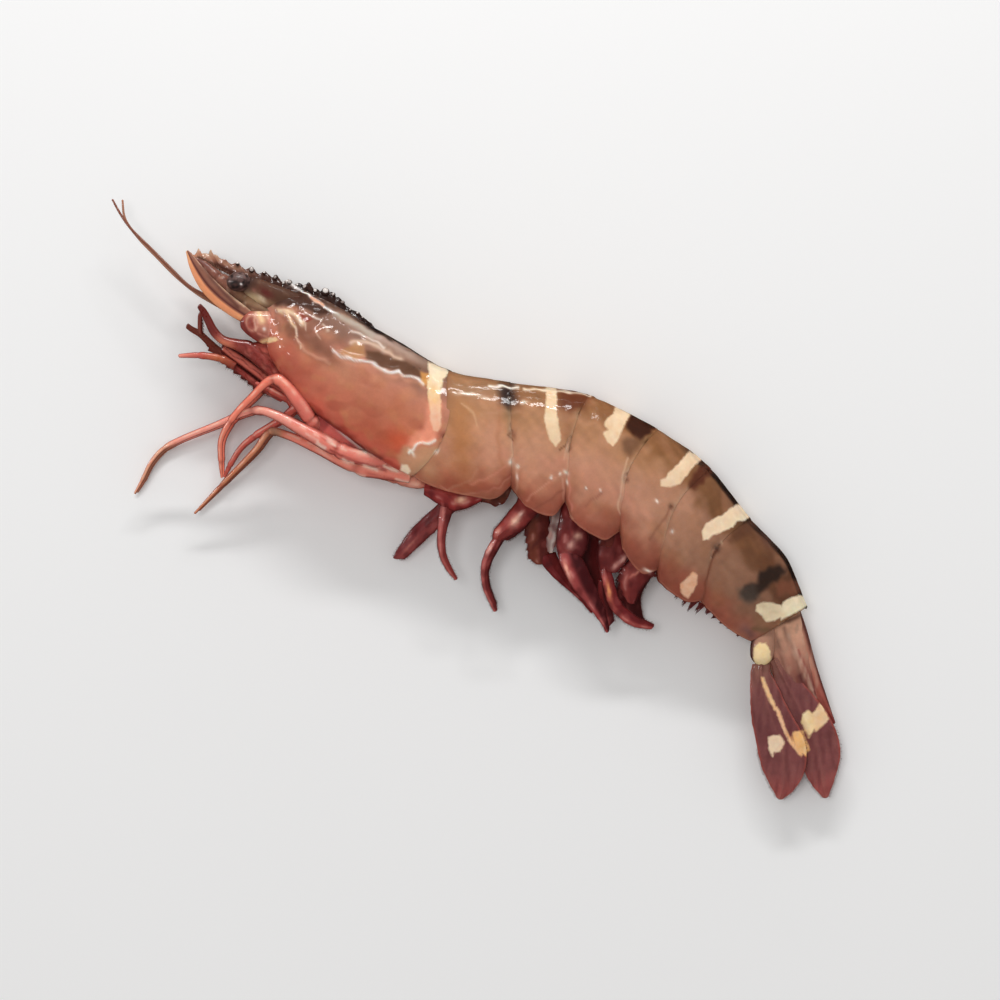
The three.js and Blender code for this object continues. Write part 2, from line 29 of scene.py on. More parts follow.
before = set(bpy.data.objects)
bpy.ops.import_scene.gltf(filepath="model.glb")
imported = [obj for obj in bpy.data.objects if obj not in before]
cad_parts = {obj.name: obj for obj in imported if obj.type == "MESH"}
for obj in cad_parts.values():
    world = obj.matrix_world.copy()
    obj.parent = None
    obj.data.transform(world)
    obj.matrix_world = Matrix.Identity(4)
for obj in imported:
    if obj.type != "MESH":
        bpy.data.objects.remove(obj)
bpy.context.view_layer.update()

MM = 0.001
ROOT = "root"
FLOOR_CLEARANCE = 0.03  # mm between the floor and the lowest skin

# ---------------------------------------------------------------- camera, lights and floor

VIEW_WIDTH = 215.0  # mm of the frame's width at VIEW_LEVEL, which is the picture's scale
VIEW_LEVEL = 13.0
VIEW_CENTRE = (5.05, -0.1)
LENS, SENSOR = 180.0, 36.0
PICTURE_STEP = VIEW_WIDTH / 1000  # mm between neighbouring columns of the picture
PICTURE_MIDDLE = (476.5, 499.5)  # the picture place of x = 0, y = 0


def marks(*places):
    """Places in the picture, as x right, y down, x right, y down and so on, turned into millimetres."""
    pairs = np.array(places, float).reshape(-1, 2)
    return [tuple(pair) for pair in (pairs - PICTURE_MIDDLE) * (PICTURE_STEP, -PICTURE_STEP)]


def seen(points):
    """Where points appear at VIEW_LEVEL to an eye above the middle of the picture."""
    distance = VIEW_WIDTH * LENS / SENSOR
    nearer = distance / (distance + VIEW_LEVEL - points[..., 2:])
    return (points[..., :2] - VIEW_CENTRE) * nearer + VIEW_CENTRE


def make_camera():
    data = bpy.data.cameras.new("camera")
    data.lens = LENS
    data.sensor_width = SENSOR
    data.clip_end = 10
    camera = bpy.data.objects.new("camera", data)
    height = VIEW_LEVEL + VIEW_WIDTH * LENS / SENSOR
    camera.location = (VIEW_CENTRE[0] * MM, VIEW_CENTRE[1] * MM, height * MM)
    bpy.context.scene.collection.objects.link(camera)
    bpy.context.scene.camera = camera


def area_light(name, place, size, power, shiny, lighting):
    data = bpy.data.lights.new(name, "AREA")
    data.shape = "RECTANGLE"
    data.size, data.size_y = size
    data.energy = power
    lamp = bpy.data.objects.new(name, data)
    lamp.location = place
    lamp.rotation_mode = "QUATERNION"
    lamp.rotation_quaternion = (-Vector(place)).to_track_quat("-Z", "Y")
    lamp.visible_glossy = shiny
    lamp.visible_diffuse = lighting
    bpy.context.scene.collection.objects.link(lamp)


STRIPS = [  # name, place and size in metres, watts, whether it shows in gloss, whether it lights
    ("back_strip", (0.0, 0.56, 0.34), (0.38, 0.05), 1.85, True, True),
    ("low_strip", (0.05, 0.62, 0.11), (0.45, 0.02), 0.35, True, True),
    ("overhead", (-0.25, 0.1, 1.5), (0.4, 0.4), 4.2, False, True),
    ("left_strip", (-0.62, 0.12, 0.2), (0.03, 0.6), 1.3, True, False),
]
WORLD_COLOUR, WORLD_STRENGTH = (1.0, 0.99, 0.98, 1), 0.5
FLOOR_HALF = 1.5  # metres
FLOOR_COLOUR, FLOOR_ROUGHNESS, FLOOR_GLOSS = (0.93, 0.93, 0.93, 1), 0.9, 0.1


def make_studio():
    """Soft light from all round, four area lights, and a pale floor that doesn't show in gloss."""
    scene = bpy.context.scene
    scene.view_settings.view_transform = "Standard"
    world = bpy.data.worlds.new("studio")
    world.use_nodes = True
    background = world.node_tree.nodes["Background"]
    background.inputs["Color"].default_value = WORLD_COLOUR
    background.inputs["Strength"].default_value = WORLD_STRENGTH
    world.cycles_visibility.glossy = False
    scene.world = world
    for strip in STRIPS:
        area_light(*strip)
    make_floor()


def make_floor():
    """A pale square under the prawn, which is no piece of the part."""
    floor_data = bpy.data.meshes.new("floor")
    corners = [(x * FLOOR_HALF, y * FLOOR_HALF, 0) for x, y in ((-1, -1), (1, -1), (1, 1), (-1, 1))]
    floor_data.from_pydata(corners, [], [(0, 1, 2, 3)])
    floor = bpy.data.objects.new("floor", floor_data)
    bpy.context.scene.collection.objects.link(floor)
    floor.visible_glossy = False
    pale = bpy.data.materials.new("pale_floor")
    pale.use_nodes = True
    shader = pale.node_tree.nodes["Principled BSDF"]
    shader.inputs["Base Color"].default_value = FLOOR_COLOUR
    shader.inputs["Roughness"].default_value = FLOOR_ROUGHNESS
    shader.inputs["Specular IOR Level"].default_value = FLOOR_GLOSS
    floor_data.materials.append(pale)


# ---------------------------------------------------------------- numbers and curves

def padded_cells(table, cubic):
    """Reads a table at any array of places, by cubic(k, t, a, b, c, d) between its rows b and c."""
    table = np.array(table, float)
    padded = np.vstack([2 * table[0] - table[1], table, 2 * table[-1] - table[-2]])
    last = len(table) - 1

    def read(place):
        place = np.clip(np.asarray(place, float), 0, last)
        cell = np.minimum(place.astype(int), last - 1)
        return cubic(cell, (place - cell)[..., None], *(padded[cell + k] for k in range(4)))

    return padded, read


def smooth_table(rows):
    """Reads a table between its rows, smoothly, at any array of places."""
    def cubic(_, t, a, b, c, d):
        return b + t * ((c - a) / 2 + t * (a - 2.5 * b + 2 * c - d / 2 + t * (1.5 * (b - c) + (d - a) / 2)))

    return padded_cells(rows, cubic)[1]


def smooth_path(points):
    """The smooth curve through points, at any array of places, with no overshoot at uneven spacing."""
    def cubic(cell, t, a, b, c, d):
        d0, d1, d2 = (steps[cell + k][..., None] for k in range(3))
        start = ((b - a) / d0 - (c - a) / (d0 + d1) + (c - b) / d1) * d1
        end = ((c - b) / d1 - (d - b) / (d1 + d2) + (d - c) / d2) * d1
        return b + t * (start + t * (3 * (c - b) - 2 * start - end + t * (2 * (b - c) + start + end)))

    padded, read = padded_cells(points, cubic)
    steps = np.maximum(np.sqrt(np.linalg.norm(np.diff(padded, axis=0), axis=1)), 1e-4)
    return read


def blend(low, high, value):
    """0 below low, 1 above high, and a smooth step between them."""
    t = np.clip((value - low) / (high - low), 0, 1)
    return t * t * (3 - 2 * t)


def hump(value, centre, width):
    """1 at centre, falling smoothly to nothing a few widths away."""
    return np.exp(-((value - centre) / width) ** 2)


def around(columns, start=0.0):
    """Angles once round, the last one short of the first."""
    return np.linspace(start, start + 2 * math.pi, columns, endpoint=False)


def unit(vectors):
    return vectors / np.maximum(np.linalg.norm(vectors, axis=-1, keepdims=True), 1e-9)


def ripples(points, wavelength, seed, waves=14):
    """A smooth random field between about -1 and 1 with that wavelength, the same each run."""
    draw = np.random.default_rng(seed)
    directions = unit(draw.normal(size=(waves, points.shape[-1])))
    rates = 2 * math.pi / wavelength * draw.uniform(0.7, 1.4, waves)
    phases = draw.uniform(0, 2 * math.pi, waves)
    return np.sin(points @ (directions * rates[:, None]).T + phases).sum(-1) / math.sqrt(waves)


def cloud(points, wavelength, seed, low, high):
    """Soft random clouds, from 0 where the ripples are below low to 1 where they are above high."""
    return blend(low, high, ripples(points, wavelength, seed))


def ripple_pair(points, first, second, seed):
    """Two fields of ripples as a sideways shift, with neighbouring seeds."""
    return np.stack([ripples(points, first, seed), ripples(points, second, seed + 1)], -1)


def distance_to_path(xy, path):
    nearest = np.full(xy.shape[:-1], np.inf)
    for start, end in zip(np.array(path[:-1], float), np.array(path[1:], float)):
        run = end - start
        t = np.clip(((xy - start) @ run) / (run @ run), 0, 1)
        nearest = np.minimum(nearest, np.linalg.norm(xy - start - t[..., None] * run, axis=-1))
    return nearest


def distance_to_patch(xy, outline):
    """Distance to a closed outline, negative inside it."""
    inside = np.zeros(xy.shape[:-1], bool)
    corners = np.array(outline, float)
    for (x0, y0), (x1, y1) in zip(corners, np.roll(corners, -1, axis=0)):
        crosses = (y0 > xy[..., 1]) != (y1 > xy[..., 1])
        with np.errstate(divide="ignore", invalid="ignore"):
            edge_x = (x1 - x0) * (xy[..., 1] - y0) / (y1 - y0) + x0
        inside ^= crosses & (xy[..., 0] < edge_x)
    away = distance_to_path(xy, list(outline) + [outline[0]])
    return np.where(inside, -away, away)


def oval(x, y, half_x, half_y, corners=12):
    """An upright oval's outline."""
    angles = [2 * math.pi * k / corners for k in range(corners)]
    return [(x + half_x * math.cos(angle), y + half_y * math.sin(angle)) for angle in angles]


# ---------------------------------------------------------------- colours, as red, green and blue up to 255

CREAM = (253, 220, 182)
DARK_BROWN = (92, 56, 40)
HEAD_DARK = (104, 68, 52)
MAROON_DARK = (82, 38, 40)
TAIL_RED = (136, 58, 54)
MOUTH_DARK = (112, 42, 36)
SCALE_ORANGE = (240, 158, 112)
SCALE_BROWN = (146, 96, 78)
FEELER_BROWN = (134, 82, 64)
FEELER_TAN = (176, 126, 100)
EYE_BLACK = (78, 52, 48)
EYE_GREY = (146, 112, 104)


def rgb(colour):
    return np.array(colour, float) / 255


def linear(colours):
    return np.where(colours <= 0.04045, colours / 12.92, ((colours + 0.055) / 1.055) ** 2.4)


def mixed(tint, colour, share):
    return tint + (rgb(colour) - tint) * np.asarray(share)[..., None]


def graded(value, stops):
    """The colour at each value, between (value, colour) stops in rising order."""
    places = [stop[0] for stop in stops]
    colours = np.array([rgb(stop[1]) for stop in stops])
    return np.stack([np.interp(value, places, colours[:, k]) for k in range(3)], -1)


def daub(tint, xy, x, y, half_x, half_y, turn, colour, strength):
    """A soft oval of colour."""
    turn = math.radians(turn)
    dx, dy = xy[..., 0] - x, xy[..., 1] - y
    u = (dx * math.cos(turn) + dy * math.sin(turn)) / half_x
    v = (dy * math.cos(turn) - dx * math.sin(turn)) / half_y
    return mixed(tint, colour, strength * np.exp(-(u * u + v * v)))


def stroke(tint, xy, path, width, colour, strength):
    """A soft line of colour."""
    return mixed(tint, colour, strength * hump(distance_to_path(xy, path), 0, width))


def stain(tint, xy, patch, softness, colour, strength):
    """A patch of colour with a soft edge."""
    return mixed(tint, colour, strength * blend(softness, -softness, distance_to_patch(xy, patch)))


# ---------------------------------------------------------------- materials

PATCH_RAGGED = 0.3  # how far noise shifts a cream patch's edge, in mm
PATCH_SOFT = 0.22
PATCH_SHADE = (1.0, 0.86, 0.66, 1)
SCATTER_SCALE, SCATTER_RADIUS = 0.0012, (1.0, 0.45, 0.25)  # metres, and its share in red, green and blue
FACET_SIZE = 0.12  # mm
EYE_DEPTH = (0.016, 0.009, 0.009, 1)
BRISTLE_DARK = (0.05, 0.01, 0.01, 1)


class Graph:
    """A material's nodes, made and joined one call at a time."""

    def __init__(self, name):
        self.material = bpy.data.materials.new(name)
        self.material.use_nodes = True
        self.tree = self.material.node_tree
        self.shader = self.tree.nodes["Principled BSDF"]
        self.place = self.tree.nodes.new("ShaderNodeTexCoord").outputs["Object"]

    def node(self, kind, inputs=None, **settings):
        made = self.tree.nodes.new(kind)
        for key, value in settings.items():
            setattr(made, key, value)
        for key, value in (inputs or {}).items():
            if isinstance(value, bpy.types.NodeSocket):
                self.tree.links.new(value, made.inputs[key])
            else:
                made.inputs[key].default_value = value
        return made

    def noise(self, size, detail=2.0, roughness=0.5):
        """Cloudy noise from 0 to 1, with features of that size in millimetres."""
        inputs = {"Vector": self.place, "Scale": 1 / (size * MM), "Detail": detail, "Roughness": roughness}
        return self.node("ShaderNodeTexNoise", inputs).outputs["Fac"]

    def ranged(self, value, low, high, to_low=0.0, to_high=1.0):
        inputs = {"Value": value, "From Min": low, "From Max": high, "To Min": to_low, "To Max": to_high}
        return self.node("ShaderNodeMapRange", inputs).outputs["Result"]

    def clouds(self, size, detail=2.0, roughness=0.5, low=0.0, high=1.0):
        """Noise with its middle range spread from low to high."""
        return self.ranged(self.noise(size, detail, roughness), 0.3, 0.7, low, high)

    def math(self, operation, first, second):
        return self.node("ShaderNodeMath", {0: first, 1: second}, operation=operation).outputs["Value"]

    def attribute(self, name, output):
        return self.node("ShaderNodeAttribute", attribute_name=name).outputs[output]

    def mix(self, share, first, second, blend_type="MIX"):
        inputs = {"Factor": share, 6: first, 7: second}
        made = self.node("ShaderNodeMix", inputs, data_type="RGBA", blend_type=blend_type)
        return made.outputs[2]

    def bump(self, height, depth, under=None):
        """Relief so many millimetres deep."""
        inputs = {"Height": height, "Distance": depth * MM, "Strength": 1.0}
        if under is not None:
            inputs["Normal"] = under
        return self.node("ShaderNodeBump", inputs).outputs["Normal"]

    def set(self, **values):
        for key, value in values.items():
            socket = self.shader.inputs[key.replace("_", " ")]
            if isinstance(value, bpy.types.NodeSocket):
                self.tree.links.new(value, socket)
            else:
                socket.default_value = value


def shell_material(name, roughness=0.42, coat=0.7, scatter=0.25, mottle=0.06, relief=1.0, specular=0.12,
                   patches=False):
    """Wet translucent shell, painted by the mesh's tint, with cream patches where the mesh has them."""
    graph = Graph(name)
    tint = graph.attribute("tint", "Color")
    clouds = graph.clouds(2.6, 4.0, 0.6, 1 - mottle, 1 + mottle)
    fine = graph.clouds(0.45, 3.0, 0.6, 0.975, 1.025)
    shade = graph.math("MULTIPLY", clouds, fine)
    grey = graph.node("ShaderNodeCombineColor", {"Red": shade, "Green": shade, "Blue": shade}).outputs["Color"]
    colour = graph.mix(1.0, tint, grey, "MULTIPLY")
    if patches:
        ragged = graph.ranged(graph.noise(0.9, 2.0, 0.5), 0.0, 1.0, -PATCH_RAGGED, PATCH_RAGGED)
        edge = graph.math("ADD", graph.attribute("edge", "Fac"), ragged)
        inside = graph.ranged(edge, PATCH_SOFT, -PATCH_SOFT)
        veil = graph.ranged(graph.noise(1.3, 3.0), 0.3, 0.75, 1.0, 0.84)
        shade = graph.clouds(1.8, high=0.35)
        patch = graph.mix(shade, graph.attribute("patch", "Color"), PATCH_SHADE)
        colour = graph.mix(graph.math("MULTIPLY", inside, veil), colour, patch)
    skin = graph.bump(graph.noise(1.4, 3.0, 0.55), 0.06 * relief)
    skin = graph.bump(graph.noise(0.28, 2.0), 0.008 * relief, skin)
    film = graph.bump(graph.noise(2.0, 2.0, 0.5), 0.12 * relief)
    rough = graph.clouds(1.7, 3.0, low=roughness - 0.08, high=roughness + 0.1)
    graph.set(Base_Color=colour, Roughness=rough, Normal=skin, Coat_Normal=film, Coat_Weight=coat,
              Coat_Roughness=0.06, Specular_IOR_Level=specular, Coat_IOR=1.38, IOR=1.42,
              Subsurface_Weight=scatter, Subsurface_Scale=SCATTER_SCALE, Subsurface_Radius=SCATTER_RADIUS)
    return graph.material


def eye_material():
    """Black faceted eye under a clear wet surface, brownish in its depth, with a painted highlight where its
    tint is bright.
    """
    graph = Graph("wet_eye")
    cells = graph.node("ShaderNodeTexVoronoi", {"Vector": graph.place, "Scale": 1 / (FACET_SIZE * MM)})
    tint = graph.attribute("tint", "Color")
    clouds = graph.clouds(0.9, 3.0)
    colour = graph.mix(graph.math("MULTIPLY", clouds, 0.7), tint, EYE_DEPTH)
    facets = graph.bump(cells.outputs["Distance"], 0.01)
    # where the tint is bright, at the painted highlight, the tint shows unmixed
    glint = graph.ranged(tint, 0.3, 0.8)
    colour = graph.mix(glint, colour, tint)
    graph.set(Base_Color=colour, Roughness=0.45, Normal=facets, Coat_Weight=0.35, Coat_Roughness=0.1)
    return graph.material


def water_material():
    graph = Graph("water")
    wave = graph.bump(graph.noise(0.5, 1.0), 0.01)
    graph.set(Base_Color=(1, 1, 1, 1), Roughness=0.02, Transmission_Weight=1.0, IOR=1.33, Normal=wave)
    return graph.material


def hair_material():
    graph = Graph("bristle")
    tint = graph.attribute("tint", "Color")
    shade = graph.clouds(0.6, high=0.3)
    graph.set(Base_Color=graph.mix(shade, tint, BRISTLE_DARK), Roughness=0.5, Coat_Weight=0.3)
    return graph.material


HEAD_SKIN = shell_material("head_shell_wet", coat=0.85, scatter=0.25, relief=0.45, patches=True)
BODY_SKIN = shell_material("body_shell_wet", coat=0.6, scatter=0.3, patches=True)
REAR_SKIN = shell_material("rear_shell_wet", coat=0.2, scatter=0.3, patches=True)
LIMB_SKIN = shell_material("leg_shell_wet", roughness=0.3, coat=1.0, relief=0.5, specular=0.5)
MOUTH_SKIN = shell_material("mouth_shell_wet", roughness=0.3, coat=1.0, relief=0.7, specular=0.5)
SWIM_SKIN = shell_material("swimmeret_wet", roughness=0.42, coat=0.4, scatter=0.2, mottle=0.1, relief=0.7,
                           specular=0.5)
TAIL_SKIN = shell_material("tail_shell_wet", roughness=0.45, coat=0.45, scatter=0.15, mottle=0.12, relief=0.6,
                           patches=True)
FEELER_SKIN = shell_material("feeler_shell_wet", roughness=0.35, scatter=0.2, mottle=0.08, relief=0.4,
                             specular=0.3)
CREST_SKIN = shell_material("crest_wet", roughness=0.25, coat=1.0, scatter=0.05, relief=0.6, specular=0.4)
BEAD_SKIN = shell_material("crest_bead_wet", roughness=0.12, coat=1.0, scatter=0.0, relief=0.1, specular=0.5)
STALK_SKIN = shell_material("eye_stalk_damp", coat=0.12, scatter=0.1, relief=0.5)
EYE_SKIN = eye_material()
WATER = water_material()
BRISTLE = hair_material()


# ---------------------------------------------------------------- meshes

PATCH_BLEND = 0.7  # mm over which neighbouring patches run into each other


class Shape:
    """Points, faces and colours that become one mesh."""

    def __init__(self):
        self.points = np.zeros((0, 3))
        self.tint = np.zeros((0, 3))
        self.faces = []

    def add(self, points, faces, tint):
        points = points.reshape(-1, 3)
        tint = np.broadcast_to(np.asarray(tint, float), points.shape) if np.ndim(tint) == 1 else tint
        for block in faces:
            self.faces += (block + len(self.points)).tolist()
        self.points = np.vstack([self.points, points])
        self.tint = np.vstack([self.tint, tint.reshape(-1, 3)])

    def add_tube(self, grid, ends, tint, end_tint):
        """A tube of rings, closed by a fan at each end to a point of its own."""
        points = np.vstack([grid.reshape(-1, 3), ends])
        faces = outward(points, tube_faces(*grid.shape[:2]))
        self.add(points, faces, np.vstack([tint.reshape(-1, 3), np.broadcast_to(end_tint, (2, 3))]))

    def skin(self, node, material, slot, patches=()):
        """The piece that stands for one CAD node."""
        self.piece(f"{node}_skin", material, slot, [node], patches)

    def piece(self, name, material, slot, nodes=(), patches=()):
        """Makes the object, which rides on the body and stands for the CAD nodes named."""
        points = self.points.copy()
        points[:, 2] = np.maximum(points[:, 2], FLOOR_CLEARANCE)
        mesh = bpy.data.meshes.new(name)
        mesh.from_pydata((points * MM).tolist(), [], self.faces)
        mesh.polygons.foreach_set("use_smooth", np.ones(len(mesh.polygons), bool))
        paint(mesh, "tint", linear(np.clip(self.tint, 0, 1)))
        if patches:
            edge, patch = nearest_patch(seen(points), patches)
            mesh.attributes.new("edge", "FLOAT", "POINT").data.foreach_set("value", edge)
            paint(mesh, "patch", linear(patch))
        mesh.materials.append(material)
        made = bpy.data.objects.new(name, mesh)
        bpy.context.scene.collection.objects.link(made)
        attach(made, ROOT)
        if nodes:
            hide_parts(*nodes)


def paint(mesh, name, colours):
    rgba = np.ones((len(colours), 4), np.float32)
    rgba[:, :3] = colours
    mesh.attributes.new(name, "FLOAT_COLOR", "POINT").data.foreach_set("color", rgba.ravel())


def nearest_patch(xy, patches):
    """For each point the distance to the nearest patch's edge, negative inside, and its blended colour."""
    away = np.stack([distance_to_patch(xy, corners) for corners, _ in patches], -1)
    shares = np.exp(-np.clip(away - away.min(axis=-1, keepdims=True), 0, 30) / PATCH_BLEND)
    colours = np.array([rgb(shade) for _, shade in patches])
    colour = shares @ colours / shares.sum(axis=-1, keepdims=True)
    return away.min(axis=-1).astype(np.float32), colour


def tube_faces(rows, columns):
    """The quads of a closed tube of rings, and a fan at each end to one more point, start before end."""
    ring = np.arange(columns)
    after = (ring + 1) % columns
    base = np.arange(rows - 1)[:, None] * columns
    quads = np.stack([base + ring, base + after, base + columns + after, base + columns + ring], -1)
    start, end = rows * columns, rows * columns + 1
    last = (rows - 1) * columns
    fan_start = np.stack([np.full(columns, start), after, ring], -1)
    fan_end = np.stack([np.full(columns, end), last + ring, last + after], -1)
    return [quads.reshape(-1, 4), fan_start, fan_end]


def outward(points, faces):
    """The same faces, turned round where they make a solid with its inside out."""
    total = 0.0
    for block in faces:
        corners = points[block]
        for k in range(1, block.shape[1] - 1):
            total += (corners[:, 0] * np.cross(corners[:, k], corners[:, k + 1])).sum()
    return faces if total > 0 else [block[:, ::-1] for block in faces]


def surface_normals(grid):
    """Unit normals of a grid of rings that is closed round its columns."""
    down_rows = np.gradient(grid, axis=0)
    round_columns = (np.roll(grid, -1, axis=1) - np.roll(grid, 1, axis=1)) / 2
    return unit(np.cross(down_rows, round_columns))


# ---------------------------------------------------------------- the trunk, as the CAD has it

TRUNK = [  # back x, y; lower edge x, y; half width; height of the middle plane
    (-44.6, 45.2, -45.4, 34.4, 4.8, 10.2), (-41.2, 45.4, -44.9, 31.8, 6.6, 10.2),
    (-34.7, 44.0, -42.2, 27.4, 8.7, 10.1), (-28.3, 40.8, -38.0, 21.4, 10.0, 10.0),
    (-16.4, 33.9, -28.3, 13.9, 10.6, 9.9), (-5.9, 27.9, -14.3, 5.3, 10.4, 9.8),
    (6.8, 25.3, 8.5, 0.1, 10.3, 9.7), (23.3, 22.7, 19.2, -2.5, 10.3, 9.65),
    (38.4, 15.4, 30.4, -8.7, 10.0, 9.35), (49.8, 6.8, 38.4, -16.2, 9.2, 8.7),
    (58.4, -4.0, 48.1, -22.3, 7.8, 7.8), (66.3, -12.4, 54.1, -27.0, 6.6, 7.2),
    (71.1, -23.3, 59.2, -30.6, 5.4, 6.6),
]
LAST = len(TRUNK) - 1
CARAPACE_END = 5
RINGS = [(5, 6), (6, 7), (7, 8), (8, 9), (9, 10), (10, 12)]
SEAM_BOW = {5: 3.0, 6: -0.6, 7: -2.0, 8: -3.2, 9: -3.4, 10: -3.2}  # mm that a seam bows out at mid height
LOWER_EDGE = math.radians(150)  # how far round from the back the side flaps reach
SHOULDER = 1.2
BACK_POWER, CARAPACE_BACK_POWER = 0.85, 1.1  # how the section narrows to the back: less is broader
FLANK_POWER = 0.75
BELLY_DEPTH = 0.74
PLEURON_DROPS = [1.4, 2.2, 2.2, 2.0, 1.4, 0.5]  # how far each ring's side flap hangs below its ends
PLEURON_POWER = 0.6
REAR_CORNERS = [4.2, 3.2, 2.8, 1.8, 1.0, 0.0]  # how far the flap's rear corner is rounded off
FRONT_CORNERS = [0.4, 1.0, 1.0, 1.2, 0.8, 0.4]  # the same of its front corner
LIP = 0.05  # mm that a ring widens to the rear and narrows to the front
TRUNK_COLUMNS = 240
trunk_at = smooth_table(TRUNK)


def section(station):
    """Centre, direction from belly to back, half depth and half width of the trunk."""
    back_x, back_y, low_x, low_y, half_width, middle = np.moveaxis(trunk_at(station), -1, 0)
    across = np.stack([back_x - low_x, back_y - low_y], -1)
    centre = np.stack([(back_x + low_x) / 2, (back_y + low_y) / 2, middle], -1)
    return centre, unit(across), np.linalg.norm(across, axis=-1) / 2, half_width


def station_length(station):
    """Millimetres of trunk for one step of station."""
    ends = np.clip([station - 0.5, station + 0.5], 0, LAST)
    centres = section(ends)[0]
    return np.linalg.norm(centres[1] - centres[0]) / (ends[1] - ends[0])


def outline(angle, back_power):
    """Depth, from 1 at the back to -1 at the lower edge, and width, from 0 to 1, at an angle round."""
    turn = np.abs(angle)
    power = np.where(turn < math.pi / 2, back_power, FLANK_POWER)
    inward = np.clip((turn - LOWER_EDGE) / (math.pi - LOWER_EDGE), 0, 1)
    shell_depth = np.cos(math.pi * (np.minimum(turn, LOWER_EDGE) / LOWER_EDGE) ** SHOULDER)
    depth = np.where(turn <= LOWER_EDGE, shell_depth, -1 + (1 - BELLY_DEPTH) * blend(0, 0.45, inward))
    width = np.maximum(np.sin(np.minimum(turn, LOWER_EDGE)), 0) ** power * (1 - inward)
    return depth, width


def trunk_points(station, angle, grow, drop, back_power=BACK_POWER):
    """Points of the trunk's surface, so far out of it, with the lower half hanging so far below it."""
    centre, across, half_depth, half_width = section(station)
    depth, width = outline(angle, back_power)
    down = np.where(depth < 0, -depth * drop, 0)
    reach = depth * (half_depth + grow) - down
    points = centre + np.concatenate([across, np.zeros_like(across[..., :1])], -1) * reach[..., None]
    points[..., 2] += np.sign(angle) * width * (half_width + grow)
    return points


def seam(station, angle):
    """The station of a seam between rings at each angle, bowed where it crosses the flank."""
    depth, _ = outline(angle, BACK_POWER)
    height = np.minimum((1 - depth) / 2, 1)
    reach = np.where(np.abs(angle) > LOWER_EDGE, 0, np.sin(math.pi * height))
    return station + SEAM_BOW.get(station, 0) * reach / station_length(station)


def ridge(points, path, height, width, stray=0.0, seed=1):
    """Height of a long ridge, or a groove where height is negative, that strays so far from its path."""
    xy = points[..., :2]
    if stray:
        xy = xy + stray * ripple_pair(points, 3.1, 2.3, seed)
    return height * hump(distance_to_path(xy, path), 0, width)


def knob(points, x, y, height, radius):
    """Height of a round swelling at a place."""
    return height * hump(np.hypot(points[..., 0] - x, points[..., 1] - y), 0, radius)


# ---------------------------------------------------------------- the trunk's markings and rings

SHELL_POINTS = []  # the upper skin of every shell, for the drops that stand on it
SHELL_DROPS = [(509, 399), (525, 402), (511, 462), (518, 466), (519, 476), (551, 477), (559, 474), (566, 472),
               (586, 487), (601, 490), (569, 517), (672, 530), (437, 450), (315, 312), (297, 334), (300, 343),
               (316, 338), (311, 332), (414, 367), (420, 369), (343, 323)]
HINGES = marks(513, 433, 570, 446, 626, 479, 672, 507, 716, 549)
BODY_PATCHES = [  # outline, colour
    (marks(546, 384, 556, 384, 557, 400, 556, 410, 558, 420, 560, 432, 561, 440, 556, 447, 550, 440, 546, 428,
           544, 418, 546, 405), (240, 208, 168)),
    (marks(617, 402, 633, 409, 627, 420, 623, 428, 619, 438, 613, 447, 606, 440, 603, 432, 608, 430, 604, 425,
           606, 420, 613, 414), (240, 206, 166)),
    (marks(689, 451, 703, 458, 693, 467, 687, 475, 680, 484, 671, 487, 661, 486, 660, 480, 666, 478, 669, 472,
           678, 464), (242, 208, 170)),
    (marks(737, 504, 748, 508, 751, 515, 745, 521, 737, 521, 733, 527, 722, 532, 713, 535, 709, 540, 703, 540,
           702, 532, 705, 525, 713, 519, 722, 515, 728, 510), (250, 220, 184)),
    (marks(783, 602, 790, 598, 800, 595, 808, 598, 810, 604, 799, 611, 791, 615, 781, 620, 779, 612),
     (246, 228, 192)),
    (marks(756, 605, 764, 602, 774, 603, 782, 606, 784, 614, 776, 620, 766, 622, 762, 616, 756, 611),
     (222, 202, 166)),
    (marks(681, 583, 688, 577, 693, 572, 698, 575, 697, 583, 693, 592, 688, 599, 682, 594, 680, 588),
     (236, 176, 138)),
]
BODY_STAINS = [  # outline, softness of its edge, colour, strength
    (marks(500, 384, 514, 384, 515, 402, 508, 408, 501, 404), 1.3, (50, 32, 26), 1.0),
    (marks(557, 386, 577, 387, 592, 395, 584, 408, 572, 412, 560, 408), 1.2, (104, 52, 30), 0.9),
    (marks(560, 410, 575, 412, 574, 432, 565, 438), 1.4, (156, 106, 76), 0.6),
    (marks(633, 409, 642, 413, 650, 419, 658, 427, 646, 436, 640, 440, 632, 434, 627, 428, 628, 420), 0.5,
     (62, 32, 22), 0.95),
    (marks(622, 440, 636, 436, 642, 442, 636, 452, 630, 457, 622, 450), 1.0, (108, 74, 54), 0.7),
    (marks(707, 460, 716, 468, 704, 482, 694, 490, 689, 488, 693, 474), 0.6, (92, 48, 34), 0.9),
    (marks(752, 512, 762, 522, 748, 534, 736, 542, 728, 540, 738, 528), 0.8, (96, 62, 46), 0.6),
    (marks(770, 567, 780, 565, 787, 570, 780, 578, 770, 585, 762, 592, 755, 600, 745, 600, 740, 592, 745, 586,
           757, 582, 760, 572), 0.7, (52, 38, 32), 0.95),
    (marks(738, 588, 756, 584, 760, 598, 748, 604, 738, 600), 0.8, (92, 80, 72), 0.6),
    (marks(775, 582, 800, 580, 802, 592, 778, 596), 0.7, (132, 80, 60), 0.7),
]
